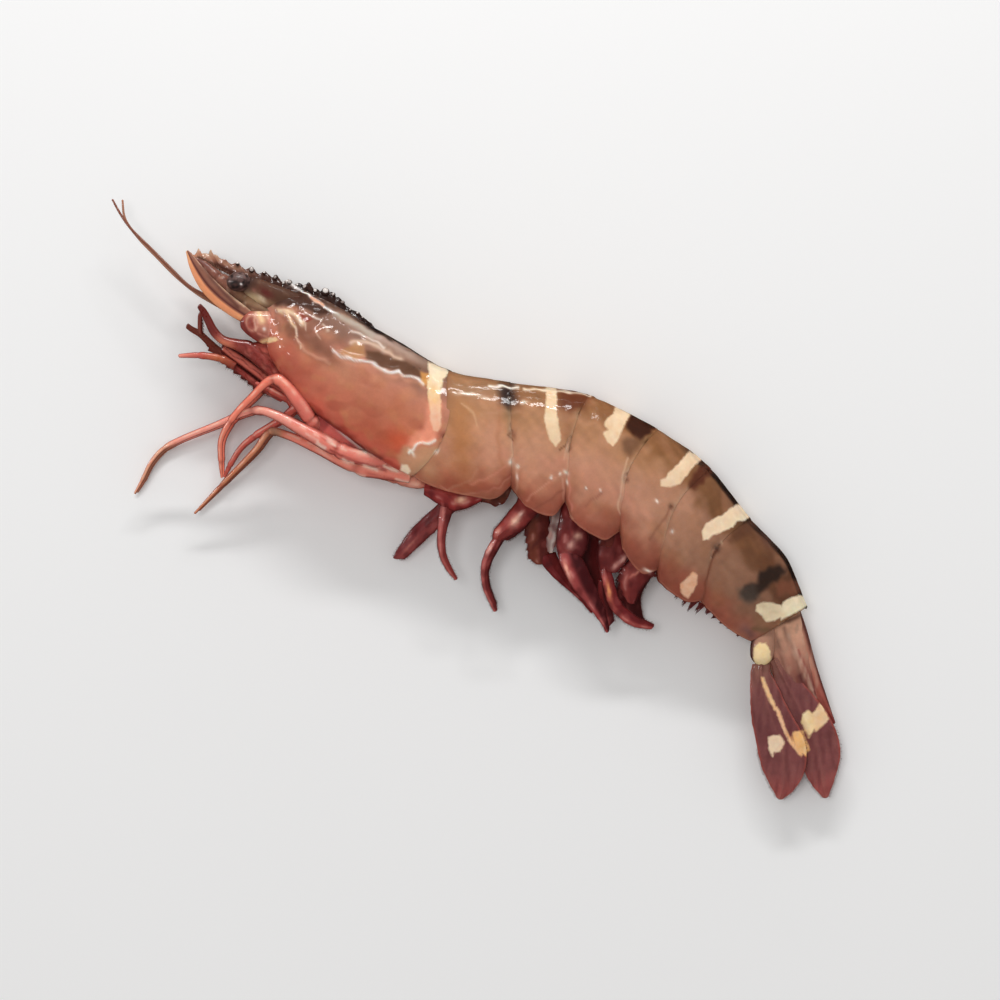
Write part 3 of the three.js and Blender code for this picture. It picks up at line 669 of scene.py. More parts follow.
BODY_DAUBS = [  # picture place, half sizes in mm, turn, colour, strength
    (516, 402, 1.6, 2.2, 0, (116, 70, 44), 0.7), (508, 412, 1.8, 1.4, 0, (128, 96, 66), 0.6),
    (470, 391, 8.0, 1.4, -3, (166, 132, 104), 0.6), (461, 440, 2.6, 9.0, 5, (186, 124, 78), 0.75),
    (492, 440, 2.6, 7.0, 5, (212, 152, 124), 0.6), (448, 400, 1.4, 5.0, 10, (170, 120, 84), 0.6),
    (428, 468, 2.8, 3.4, 0, (206, 158, 120), 0.7), (493, 497, 4.0, 1.6, 0, (150, 88, 66), 0.6),
    (530, 455, 3.6, 4.4, 0, (212, 156, 126), 0.6), (596, 460, 4.0, 5.0, -20, (204, 148, 120), 0.5),
    (648, 492, 3.6, 4.6, -30, (200, 146, 122), 0.5), (606, 518, 3.0, 2.4, -20, (156, 92, 72), 0.5),
    (548, 500, 3.4, 2.2, 0, (170, 104, 82), 0.5), (640, 556, 3.6, 1.6, -40, (150, 84, 66), 0.6),
    (733, 565, 3.4, 3.0, -40, (158, 116, 92), 0.6), (716, 549, 0.7, 0.9, 20, (72, 46, 38), 0.8),
    (722, 544, 0.3, 0.5, 20, (214, 180, 150), 0.8), (712, 557, 0.3, 0.5, -20, (206, 168, 138), 0.7),
    (672, 507, 0.6, 0.5, 0, (84, 56, 46), 0.8), (626, 479, 0.5, 0.5, 0, (132, 88, 68), 0.7),
    (570, 447, 0.6, 0.9, 0, (150, 98, 74), 0.7), (513, 434, 0.6, 0.9, 0, (150, 98, 74), 0.7),
    (766, 540, 2.4, 1.6, -50, (110, 74, 62), 0.6), (672, 570, 2.6, 1.6, -40, (148, 82, 62), 0.6),
    (700, 596, 3.0, 1.4, -45, (150, 88, 68), 0.5), (748, 632, 2.2, 1.4, -40, (116, 84, 84), 0.6),
    (795, 617, 2.6, 1.4, 10, (112, 86, 62), 0.6), (690, 520, 3.0, 2.4, -40, (176, 128, 102), 0.5),
]
BODY_STROKES = [  # path, width, colour, strength
    (marks(628, 458, 622, 478, 619, 500, 619, 515), 0.22, (222, 184, 156), 0.6),
    (marks(512, 455, 517, 470, 516, 490, 520, 505), 0.25, (226, 178, 152), 0.45),
    (marks(562, 480, 565, 505, 572, 518), 0.25, (222, 172, 146), 0.45),
    (marks(500, 400, 498, 440, 505, 480), 0.5, (176, 112, 78), 0.3),
    (marks(673, 507, 660, 524, 650, 540), 0.3, (128, 80, 62), 0.4),
    (marks(716, 551, 708, 572, 703, 600), 0.3, (124, 68, 50), 0.6),
    (marks(590, 392, 640, 411, 680, 440, 705, 466), 0.35, (84, 54, 40), 0.6),
    (marks(755, 628, 770, 632, 790, 620, 800, 612), 0.5, (110, 85, 60), 0.6),
    # painted highlights along the back's ridge, on this line and the next
    (marks(490, 386, 503, 386.5, 518, 388), 0.3, (255, 246, 232), 1.0),
    (marks(524, 388.8, 545, 390, 566, 391.5, 590, 395), 0.25, (255, 238, 214), 0.85),
    (marks(440, 486, 452, 496, 475, 493, 500, 487, 515, 470), 0.25, (206, 140, 116), 0.5),
    (marks(480, 414, 496, 412, 520, 412), 0.4, (206, 160, 128), 0.3),
    (marks(462, 403, 472, 412, 478, 425), 0.22, (222, 180, 142), 0.5),
    (marks(526, 500, 540, 490, 555, 478), 0.25, (222, 158, 132), 0.5),
    (marks(535, 508, 552, 498, 562, 490), 0.25, (150, 84, 70), 0.5),
    (marks(585, 505, 597, 498, 602, 492), 0.25, (150, 92, 76), 0.5),
    (marks(470, 484, 490, 478, 505, 466), 0.3, (216, 142, 118), 0.5),
    (marks(478, 492, 498, 486, 510, 474), 0.3, (156, 82, 66), 0.5),
    (marks(448, 490, 470, 480, 478, 470), 0.3, (196, 140, 112), 0.4),
    (marks(512, 440, 514, 452, 511, 460), 0.22, (216, 160, 132), 0.6),
    (marks(512, 430, 508, 436, 513, 440), 0.2, (120, 76, 56), 0.7),
    (marks(569, 442, 566, 450, 564, 458), 0.22, (216, 166, 138), 0.6),
    (marks(560, 450, 566, 444, 571, 436), 0.22, (112, 70, 48), 0.7),
    (marks(568, 476, 570, 486, 569, 498, 572, 510), 0.24, (216, 138, 118), 0.6),
]
BACK_LEVELS = ([5, 7, 8, 9, 10, 12], [0.7, 0.66, 0.58, 0.5, 0.35, 0.2])  # depth where the brown back starts
BACK_COLOURS = [(5, (160, 116, 82)), (7, (146, 98, 62)), (8, (140, 94, 60)), (9, (132, 90, 60)),
                (10, (112, 74, 50)), (12, (96, 62, 46))]
FLANK_COLOURS = [(5, (196, 142, 108)), (6, (200, 146, 114)), (7, (198, 144, 114)), (8, (192, 140, 112)),
                 (9, (176, 128, 102)), (10, (146, 104, 82)), (12, (132, 94, 74))]
FLAP_COLOURS = [(5, (172, 92, 70)), (7, (176, 98, 78)), (9, (146, 76, 60)), (12, (164, 98, 78))]


def body_tint(points, depth, station):
    """The colour of the abdomen's shell: a brown back that widens to the rear, and redder flaps, with painted
    highlights and glints.
    """
    level = np.interp(station, *BACK_LEVELS)
    cloudy = depth + 0.06 * ripples(points, 4.0, 34)
    front = blend(9, 8, station)
    tint = graded(station, FLANK_COLOURS)
    tint += (graded(station, BACK_COLOURS) - tint) * blend(level - 0.16, level + 0.12, cloudy)[..., None]
    tint += (graded(station, FLAP_COLOURS) - tint) * blend(-0.3, -0.95, cloudy)[..., None]
    tint = mixed(tint, (206, 138, 116), 0.5 * hump(cloudy, -0.32, 0.16) * front)
    tint = mixed(tint, (170, 124, 84), 0.6 * hump(cloudy, 0.4, 0.28) * front)
    tint = mixed(tint, (218, 162, 134), 0.22 * cloud(points, 8.0, 35, 0.2, 1.4))
    tint = mixed(tint, (164, 112, 74), 0.22 * cloud(points, 7.0, 36, 0.2, 1.4))
    tint = mixed(tint, (42, 28, 24), 0.9 * blend(0.9, 0.97, depth) * blend(8.3, 9.0, station))
    tint *= 1 + 0.025 * ripples(points, 2.2, 37)[..., None]
    xy = seen(points) + 0.2 * ripple_pair(points, 3.5, 3.0, 31)
    return glinted(marked(tint, xy, BODY_DAUBS, BODY_STROKES, BODY_STAINS), xy)


GLINTS = [  # painted wet highlights: picture place, half sizes in mm, turn
    (511, 462, 0.45, 0.6, 20), (518, 467, 0.4, 0.3, 40), (518, 477, 0.28, 0.6, 0), (551, 477, 0.3, 0.28, 0),
    (560, 475, 0.4, 0.3, 50), (566, 472, 0.4, 0.45, 30), (586, 488, 0.3, 0.28, 0), (601, 490, 0.28, 0.26, 0),
    (567, 482, 0.24, 0.5, 10), (437, 451, 0.7, 0.26, 40), (509, 399, 0.3, 0.26, 0), (524, 402, 0.7, 0.3, -10),
    (428, 443, 0.9, 0.26, 20), (468, 394, 2.4, 0.24, -6), (412, 452, 0.26, 0.8, 40), (486, 398, 0.8, 0.22, -10),
    (657, 500, 0.6, 0.2, -20), (625, 560, 0.3, 0.25, 0), (648, 571, 0.9, 0.35, -10), (672, 531, 0.35, 0.3, 0),
]
GLINT_SIZE, GLINT_HIGHLIGHT_COLOUR = 1.1, (255, 240, 226)


def glinted(tint, xy):
    """Small wet highlights painted on the shell."""
    daubs = [(x, y, half_x * GLINT_SIZE, half_y * GLINT_SIZE, turn, GLINT_HIGHLIGHT_COLOUR, 1.0)
             for x, y, half_x, half_y, turn in GLINTS]
    return marked(tint, xy, daubs)


def marked(tint, xy, daubs=(), strokes=(), stains=()):
    """Adds soft ovals, then soft patches, then lines, to the colours."""
    for column, row, *looks in daubs:
        tint = daub(tint, xy, *marks(column, row)[0], *looks)
    for looks in stains:
        tint = stain(tint, xy, *looks)
    for looks in strokes:
        tint = stroke(tint, xy, *looks)
    return tint


BACK_RIDGE = marks(470, 386, 500, 388, 520, 389, 560, 393, 594, 397)
REAR_GROOVE = marks(722, 565, 746, 588, 767, 611)


def ring_relief(points, depth, along, last_ring):
    """Relief of one ring: soft dents, hinge knobs, a ridge by the back and a groove behind its front."""
    relief = 0.07 * ripples(points, 8.0, 41) + 0.02 * ripples(points, 2.6, 42)
    for x, y in HINGES:
        relief += knob(points, x, y, 0.3, 0.5) - knob(points, x, y, 0.22, 1.2)
    relief += ridge(points, BACK_RIDGE, 0.24, 0.45)
    relief -= 0.1 * (hump(along, 0.2, 0.06) * blend(-0.1, -0.7, depth))
    if last_ring:
        relief -= ridge(points, REAR_GROOVE, 0.2, 0.8)
    return relief


def closing_rows(edge, ways):
    """Rows that fold an end in: (millimetres behind the edge, growth), as stations and growths."""
    length = station_length(edge)
    return [(back / length, grow) for back, grow in ways]


class Shell:
    """The trunk's skin between two edges, given as stations at each angle, with both ends folded in."""

    def __init__(self, angle, start, end, grow, front, rear, hang=None, power=BACK_POWER):
        along = np.linspace(0, 1, len(grow))
        body = start + (end - start) * along[:, None]
        self.station = np.vstack([[start + way for way, _ in front], body, [end + way for way, _ in rear]])
        grow = np.concatenate([[g for _, g in front], grow, [g for _, g in rear]])
        grow = np.broadcast_to(grow[:, None], self.station.shape)
        self.along = np.concatenate([np.zeros(len(front)), along, np.ones(len(rear))])
        self.turn = np.broadcast_to(angle, self.station.shape)
        drop = hang(self.along)[:, None] if hang else 0.0
        self.grid = trunk_points(self.station, self.turn, grow, drop, power)
        self.depth, _ = outline(self.turn, power)
        normals = surface_normals(self.grid)
        self.normals = np.sign((normals * (self.grid - self.grid.mean(axis=1, keepdims=True))).sum()) * normals

    def shown(self, front_width):
        """1 on the part that shows, fading to the folded front and to the belly."""
        off_belly = blend(LOWER_EDGE + 0.1, LOWER_EDGE, np.abs(self.turn))
        return blend(0, front_width, self.along)[:, None] * off_belly

    def lift(self, relief):
        """Moves the skin out by so many millimetres."""
        self.grid = self.grid + self.normals * relief[..., None]

    def finish(self, node, tint, inside, material, slot, patches):
        """Makes the piece, closed at both ends in the colour inside, and notes its upper skin for the drops."""
        shape = Shape()
        ends = np.stack([self.grid[0].mean(axis=0), self.grid[-1].mean(axis=0)])
        shape.add_tube(self.grid, ends, tint, rgb(inside))
        shape.skin(node, material, slot, patches)
        SHELL_POINTS.append(self.grid[(self.grid[..., 2] > VIEW_LEVEL) & (self.normals[..., 2] > 0.1)])


RING_LAP = 0.5  # mm that a ring reaches over the next
RING_ROWS, LONG_RING_ROWS = 64, 96
# rows beyond an edge: (millimetres to the rear, growth in mm)
LIP_FOLD = [(0.06, 0.03), (0.08, -0.02), (0.04, -0.06), (-0.5, -0.1), (-1.4, -0.5)]
FRONT_TUCK = [(-0.9, -1.2), (-0.5, -0.6), (-0.1, -0.2)]
DEEP_TUCK = [(-3.2, -1.6), (-2.8, -1.0), (-0.6, -0.6)]  # of the first ring, under the head shell
FRONT_DIP, FRONT_FADE = 0.05, 0.05
KEEL_HEIGHT, KEEL_WIDTH = 0.45, 0.09  # mm, and radians round the back
FOLD_SHADE = (120, 72, 54)
RIM_SHADE = (226, 178, 150)


def flap_drop(index, along):
    """How far a ring's flap hangs, less what its rounded corners take off."""
    hang = PLEURON_DROPS[index] * np.sin(math.pi * along).clip(0) ** PLEURON_POWER
    rear = REAR_CORNERS[index] * blend(0.66, 1.0, along) ** 1.5
    return hang - rear - FRONT_CORNERS[index] * blend(0.14, 0.0, along)


def ring_tint(shell):
    """The body's colours, with a darker belly, a lit lower rim, a pale rear rim and shade at the fold."""
    tint = body_tint(shell.grid, shell.depth, shell.station)
    hem = np.abs(shell.turn) - LOWER_EDGE
    tint = mixed(tint, (150, 84, 70), blend(LOWER_EDGE + 0.02, LOWER_EDGE + 0.12, np.abs(shell.turn)) * 0.8)
    tint = mixed(tint, (150, 66, 56), 0.5 * hump(hem, 0, 0.05))
    tint = mixed(tint, (230, 164, 138), 0.3 * hump(hem, -0.13, 0.04))
    rim = hump(1 - shell.along, 0, 0.03)[:, None] * blend(0.7, 0.1, shell.depth)
    tint = mixed(tint, RIM_SHADE, 0.3 * rim * blend(9.5, 8.0, shell.station))
    return mixed(tint, FOLD_SHADE, 0.25 * np.exp(-shell.along / FRONT_FADE)[:, None])


def add_ring(index):
    """A ring of the abdomen, which laps over the next, with its keel and its side flaps."""
    first, last = RINGS[index]
    rear_open = last == LAST
    angle = around(TRUNK_COLUMNS, -math.pi)
    start = seam(first, angle)
    end = seam(last, angle) + (0 if rear_open else RING_LAP / station_length(last))
    along = np.linspace(0, 1, RING_ROWS if last - first == 1 else LONG_RING_ROWS)
    grow = LIP * (2 * along - 1) - FRONT_DIP * np.exp(-along / FRONT_FADE)
    front = closing_rows(first, FRONT_TUCK if index else DEEP_TUCK)
    rear = closing_rows(last, LIP_FOLD)
    shell = Shell(angle, start, end, grow, front, rear, hang=lambda along: flap_drop(index, along))
    shown = shell.shown(0.05)
    relief = ring_relief(shell.grid, shell.depth, shell.along[:, None], rear_open) * shown
    shell.lift(relief + KEEL_HEIGHT * hump(shell.turn, 0, KEEL_WIDTH) * blend(7.8, 9.0, shell.station) * shown)
    skin = BODY_SKIN if index < 2 else REAR_SKIN
    shell.finish(f"abdomen_{index + 1}", ring_tint(shell), DARK_BROWN, skin, "body_shell", BODY_PATCHES)


# ---------------------------------------------------------------- the carapace and its crest

SIDE_RIDGE = marks(333, 350, 338, 354, 345, 357, 352, 359, 360, 361, 368, 361, 376, 364, 382, 369, 390, 373,
                   398, 371, 404, 376, 412, 377, 418, 379, 424, 384)
UPPER_RIDGE = marks(286, 279, 292, 284, 300, 289, 308, 295, 316, 301, 324, 306, 332, 311, 337, 314)
UPPER_FOLD = marks(352, 331, 360, 334, 368, 338, 378, 342, 385, 347)
LOWER_FOLD = marks(298, 340, 305, 350, 315, 357, 330, 362)
REAR_FOLD = marks(409, 453, 413, 449, 415, 446, 422, 443, 429, 444, 434, 441)
NECK_GROOVE = marks(309, 334, 318, 325, 330, 312)
LIVER_HOOK = marks(278, 310, 286, 311, 292, 312, 297, 316, 302, 324)
LIVER_TINE = marks(286, 312, 289, 318, 294, 326)
ORBIT_KNOB = marks(263, 299)[0]
ROUGH_MIDDLE, ROUGH_HALF = marks(290, 318)[0], (4.5, 3.0)  # the rough skin over the liver
HEAD_RIDGES = [  # path, height and width in mm, how far it strays, seed
    (SIDE_RIDGE, 0.4, 0.5, 0.12, 63), ([(x + 0.6, y + 1.3) for x, y in SIDE_RIDGE], -0.25, 0.9),
    (UPPER_RIDGE, 0.35, 0.5, 0.1, 65), (UPPER_FOLD, 0.22, 0.5, 0.1, 67), (LOWER_FOLD, 0.2, 0.6),
    (REAR_FOLD, 0.25, 0.4), (NECK_GROOVE, -0.3, 1.0), (LIVER_HOOK, 0.3, 0.45), (LIVER_TINE, 0.25, 0.4),
]
HEAD_COLOURS = [(-1.0, (180, 72, 58)), (-0.92, (212, 104, 84)), (-0.6, (203, 113, 90)), (-0.1, (199, 125, 99)),
                (0.25, (198, 133, 110)), (0.5, (164, 114, 94)), (0.75, (140, 102, 84)), (1.0, (104, 74, 60))]
HEAD_PATCHES = [  # outline, colour
    (marks(428, 362, 446, 366, 449, 373, 443, 379, 442, 388, 427, 388, 429, 377), (248, 226, 192)),
    (marks(427, 380, 442, 380, 440, 395, 441, 408, 430, 408, 428, 398), (250, 208, 148)),
    (marks(429, 400, 441, 400, 441, 415, 441, 425, 438, 432, 433, 430, 430, 420, 430, 410), (246, 184, 150)),
    (marks(263, 343, 268, 338, 275, 337, 279, 340, 274, 342, 268, 343), (250, 206, 150)),
    (marks(252, 300, 258, 294, 268, 295, 266, 302, 258, 308), (212, 180, 154)),
    # a painted highlight on the lower rear corner of the shell
    (marks(400, 470, 402, 464, 408, 465, 411, 471, 408, 475), (255, 224, 192)),
]
HEAD_STAINS = [  # outline, softness of its edge, colour, strength
    (marks(250, 266, 275, 276, 292, 282, 312, 295, 326, 303, 332, 313, 320, 315, 308, 309, 296, 306, 284, 306,
           277, 307, 270, 302, 262, 292, 250, 280), 0.6, (74, 46, 36), 0.95),
    (marks(292, 311, 300, 312, 313, 318, 306, 322, 300, 318), 0.3, (146, 60, 46), 0.85),
    (marks(366, 350, 380, 352, 392, 358, 405, 362, 418, 370, 426, 378, 415, 378, 403, 374, 397, 371, 385, 368,
           372, 363, 366, 358), 0.4, (106, 72, 54), 0.9),
    (marks(340, 352, 348, 346, 358, 342, 364, 345, 366, 356, 355, 359, 345, 357), 0.5, (194, 142, 96), 0.8),
    (marks(421, 372, 429, 373, 428, 386, 420, 384), 0.4, (228, 160, 84), 0.8),
    (marks(428, 404, 441, 404, 441, 425, 434, 444, 420, 448, 406, 446, 410, 436, 424, 428), 0.8,
     (246, 160, 130), 0.85),
    (marks(398, 456, 404, 446, 420, 448, 436, 446, 440, 452, 430, 470, 412, 478, 402, 472), 0.8,
     (206, 156, 120), 0.8),
]
HEAD_DAUBS = [  # picture place, half sizes in mm, turn, colour, strength
    (330, 322, 6.0, 2.0, -33, (124, 88, 74), 0.8), (350, 330, 7.0, 1.8, -30, (146, 112, 98), 0.7),
    # painted sheen: the second oval on this line and the first on the next, pale grey under the dark back edge
    (395, 348, 8.0, 1.6, -24, (158, 118, 98), 0.6), (380, 337, 9.0, 1.2, -28, (206, 182, 170), 0.65),
    (408, 354, 5.0, 0.8, -27, (190, 162, 146), 0.6), (291, 307, 1.4, 0.6, 0, (190, 108, 64), 0.7),
    (295, 327, 1.4, 1.0, 0, (116, 70, 54), 0.6), (344, 372, 4.6, 2.4, -25, (214, 150, 118), 0.7),
    (318, 345, 6.6, 2.0, -38, (122, 80, 64), 0.75), (290, 332, 1.6, 1.2, -30, (128, 84, 64), 0.6),
    (296, 328, 5.0, 2.2, -46, (138, 92, 74), 0.65), (398, 440, 3.0, 2.6, 0, (226, 96, 62), 0.75),
    (400, 412, 4.6, 3.6, -30, (196, 116, 82), 0.5), (427, 466, 3.2, 3.2, 0, (208, 158, 122), 0.8),
    (409, 460, 1.2, 0.9, 0, (232, 150, 136), 0.6), (372, 430, 6.0, 2.6, -32, (176, 84, 60), 0.5),
    (290, 368, 4.0, 3.0, -50, (170, 84, 66), 0.6), (360, 400, 7.0, 3.0, -32, (190, 116, 88), 0.4),
    (272, 322, 1.6, 2.4, 20, (214, 140, 122), 0.5),
]
HEAD_STROKES = [  # path, width, colour, strength; some are painted highlights, glints and a painted shadow, marked below
    # painted highlights: a pale band on this line and a white line on the next, on the upper side
    (marks(352, 342, 362, 341, 372, 344, 380, 347, 388, 352, 394, 357, 400, 358), 0.5, (232, 200, 176), 0.8),
    (UPPER_FOLD, 0.25, (246, 232, 220), 0.8),
    (marks(337, 315, 348, 321, 360, 327, 380, 338), 0.35, (204, 184, 170), 0.6),
    (marks(340, 300, 352, 309, 365, 320, 378, 331, 400, 343, 430, 359, 448, 371), 0.42, (44, 30, 26), 0.85),
    (marks(356, 314, 366, 322, 376, 330), 0.75, (40, 26, 24), 0.9), (LOWER_FOLD, 0.4, (222, 166, 140), 0.6),
    # painted highlights on the lower rear fold, both on this line
    (REAR_FOLD, 0.3, (255, 244, 232), 0.95), (marks(436, 452, 440, 448), 0.22, (250, 226, 208), 0.8),
    (marks(268, 300, 275, 308, 283, 315), 0.3, (206, 164, 130), 0.7),
    # painted glint
    (marks(313, 316, 318, 318, 321, 320), 0.2, (248, 236, 226), 0.8),
    # painted shadow: a dark line along the shell's lower edge, over the legs
    (marks(245, 345, 262, 362, 275, 378, 290, 395, 302, 407, 322, 420, 350, 440, 380, 460), 0.8, (112, 44, 38),
     0.85),
    # painted highlights: the white line along the side ridge, and its bright blobs on the next line
    (SIDE_RIDGE, 0.32, (255, 250, 246), 0.95),
    (marks(374, 364, 382, 369, 390, 373, 398, 371), 0.42, (255, 252, 250), 0.9),
    ([(x + 0.4, y - 0.9) for x, y in SIDE_RIDGE], 0.5, (226, 160, 128), 0.5),
    # painted highlight along the crest's foot, then a painted grey sheen band below it on the next line
    (UPPER_RIDGE, 0.3, (255, 252, 248), 1.0),
    (marks(336, 315, 346, 319, 358, 326, 372, 336), 0.7, (186, 174, 158), 0.7),
    (marks(311, 298, 318, 302, 323, 305), 0.24, (226, 150, 112), 0.8), (LIVER_HOOK, 0.6, (244, 214, 178), 0.95),
    # painted glints: the second stroke on this line and the strokes on the next five lines
    (LIVER_TINE, 0.42, (240, 206, 170), 0.9), (marks(299, 316, 301, 323), 0.26, (252, 240, 226), 0.9),
    (marks(304, 321, 306, 330), 0.2, (240, 214, 194), 0.6),
    (marks(295, 327, 298, 335), 0.26, (244, 220, 196), 0.8),
    (marks(315, 330, 320, 339), 0.2, (232, 204, 184), 0.5),
    (marks(322, 324, 327, 331), 0.22, (240, 222, 206), 0.7),
    (marks(296, 336, 300, 343, 301, 348), 0.22, (238, 206, 180), 0.7),
    (marks(272, 300, 276, 312, 280, 330), 0.5, (150, 100, 84), 0.5),
]
CREST = [(-61.4, 52.9), (-56.4, 51.9), (-51.3, 50.0), (-46.1, 48.2), (-41.2, 46.5), (-34.7, 44.9),
         (-28.3, 41.6), (-22.6, 37.9)]
CREST_FOOT = [(-61.2, 52.2), (-53.6, 48.6), (-48.9, 46.4), (-44.8, 44.2), (-41.2, 43.2), (-34.7, 41.6),
              (-28.3, 38.2), (-21.4, 35.6)]
CREST_BUMPS = [  # picture place of each top, and its width in mm
    (198, 247.5, 0.5), (205, 252.5, 1.6), (210, 249, 0.5), (215, 254, 1.3), (224, 259, 1.2), (237, 262, 1.0),
    (251, 267, 1.0), (265, 271, 1.1), (276, 275, 0.9), (288, 279, 1.0), (299, 282.5, 1.0), (308.5, 281.5, 0.8),
    (317, 288.5, 0.9), (325, 288.5, 1.0), (332, 291.5, 1.1), (339, 297, 1.2), (346, 305.5, 1.0),
    (357, 311.5, 1.2),
]
CREST_BEADS = [  # picture column, radius
    (237, 0.4), (251, 0.6), (264, 0.35), (275, 0.55), (283, 0.35), (289, 0.65), (297, 0.35), (305, 0.65),
    (315, 0.5), (325, 0.8), (333, 0.45), (342, 0.5), (350, 0.3), (357, 0.5), (362, 0.3),
]
PAINTED_HIGHLIGHT_SIDE = np.array([-0.1, 0.45, 0.89])  # the side of a bead where a highlight is painted
# colour of the highlight painted on the crest's beads
BEAD_PAINTED_HIGHLIGHT = (236, 228, 222)
CREST_THICK = (1.1, 2.4)  # mm at the rostrum and at the rear
CREST_TOP = []  # the line along the crest's top, for the beads that stand on it
CREST_ROWS, CREST_COLUMNS = 420, 28
CREST_COLOURS = [  # by x
    (-61, (206, 146, 116)), (-57, (166, 108, 86)), (-52, (122, 76, 62)), (-46, (80, 50, 42)),
    (-34, (58, 38, 32)), (-22, (46, 30, 28)),
]
CREST_STROKES = [
    # painted highlights: this line and the third, white along the crest's foot
    (marks(286, 280, 292, 284, 300, 290, 307, 295), 0.42, (252, 246, 242), 0.95),
    (marks(309, 297, 316, 301, 323, 305), 0.26, (226, 150, 112), 0.8),
    (marks(324, 305, 331, 310, 338, 314), 0.36, (252, 246, 240), 0.9),
    (marks(296, 283, 303, 288, 312, 294), 0.35, (30, 20, 20), 0.9),
]
HEAD_MIDDLE = 10.2  # height of the head's middle plane


def carapace_tint(points, depth):
    """The colour of the head shell: dark along the back, redder to the legs, with painted highlights, glints, a
    painted sheen and a painted shadow along its lower edge.
    """
    cloudy = depth + 0.06 * ripples(points, 4.0, 54)
    low = blend(0.3, 0.0, cloudy)
    tint = graded(cloudy, HEAD_COLOURS)
    tint = mixed(tint, (214, 146, 108), 0.4 * cloud(points, 7.0, 55, 0.1, 1.3))
    tint = mixed(tint, (160, 78, 62), 0.35 * cloud(points, 5.0, 56, 0.1, 1.3) * low)
    tint = mixed(tint, (206, 150, 98), 0.3 * cloud(points, 3.6, 57, 0.2, 1.3) * low)
    xy = seen(points) + 0.16 * ripple_pair(points, 3.0, 2.6, 51)
    return glinted(marked(tint, xy, HEAD_DAUBS, HEAD_STROKES, HEAD_STAINS), xy)


def carapace_relief(points):
    """Relief of the head shell: soft dents, its ridges, folds and groove, and rough skin over the liver."""
    relief = 0.08 * ripples(points, 10.0, 61) + 0.02 * ripples(points, 2.4, 62)
    for looks in HEAD_RIDGES:
        relief += ridge(points, *looks)
    relief += knob(points, *ORBIT_KNOB, 0.5, 0.8)
    off_x, off_y = (points[..., k] - ROUGH_MIDDLE[k] for k in range(2))
    rough = np.exp(-(off_x / ROUGH_HALF[0]) ** 2 - (off_y / ROUGH_HALF[1]) ** 2)
    return relief + 0.12 * rough * ripples(points, 1.8, 69)


# how far behind station 0 the front edge lies, in mm, at each depth from belly to back
FRONT_EDGE = [(-1.0, 2.4), (-0.7, 0.5), (-0.2, 0.9), (0.05, 1.0), (0.3, -0.4), (0.5, 1.4), (0.8, 1.6),
              (1.0, 0.0)]
FRONT_FOLD = [(1.6, -1.6), (1.2, -0.8), (0.5, -0.45), (0.1, -0.3), (-0.05, -0.15)]
CARAPACE_LAP = 0.7
CARAPACE_COLUMNS = 300
CARAPACE_ROWS = 300
CARAPACE_LENGTH = 55


def add_carapace():
    """The head shell: notched at the eye, ridged along its side, with a rim at the rear."""
    angle = around(CARAPACE_COLUMNS, -math.pi)
    depth, _ = outline(angle, CARAPACE_BACK_POWER)
    start = np.interp(depth, *zip(*FRONT_EDGE)) / station_length(0)
    end = seam(CARAPACE_END, angle) + CARAPACE_LAP / station_length(CARAPACE_END)
    from_rear = (1 - np.linspace(0, 1, CARAPACE_ROWS)) * CARAPACE_LENGTH
    grow = 0.12 * hump(from_rear, 0.8, 0.9) - 0.06 * hump(from_rear, 3.0, 0.8)
    shell = Shell(angle, start, end, grow, closing_rows(0, FRONT_FOLD), closing_rows(CARAPACE_END, LIP_FOLD),
                  power=CARAPACE_BACK_POWER)
    shell.lift(carapace_relief(shell.grid) * shell.shown(0.02))
    shell.finish("carapace", carapace_tint(shell.grid, shell.depth), MOUTH_DARK, HEAD_SKIN, "head_shell",
                 HEAD_PATCHES)


def crest_rise(top):
    """How far the bumps raise the crest's top line."""
    rise = np.zeros(len(top))
    for column, row, width in CREST_BUMPS:
        x, y = marks(column, row)[0]
        height = max(y - np.interp(x, top[:, 0], top[:, 1]), 0.3)
        rise = np.maximum(rise, height * hump(top[:, 0], x, width))
    return rise


def crest_tint(grid, height, rise):
    """Pale at the rostrum's tip and on its teeth, nearly black to the rear."""
    x = seen(grid)[..., 0]
    tips = blend(0.7, 1.0, height)[None] * blend(0.2, 0.9, rise)[:, None] * blend(-53, -57, x)
    band = hump(height, 0.75, 0.15)[None] * blend(-45, -52, x) * blend(-60, -58, x)
    tint = mixed(graded(x, CREST_COLOURS), (206, 178, 150), 0.8 * tips)
    tint = mixed(tint, (190, 150, 122), 0.55 * band)
    tint = mixed(tint, (70, 42, 36), 0.7 * hump(height, 0.3, 0.2)[None] * blend(-60, -56, x))
    return marked(tint, seen(grid), strokes=CREST_STROKES)


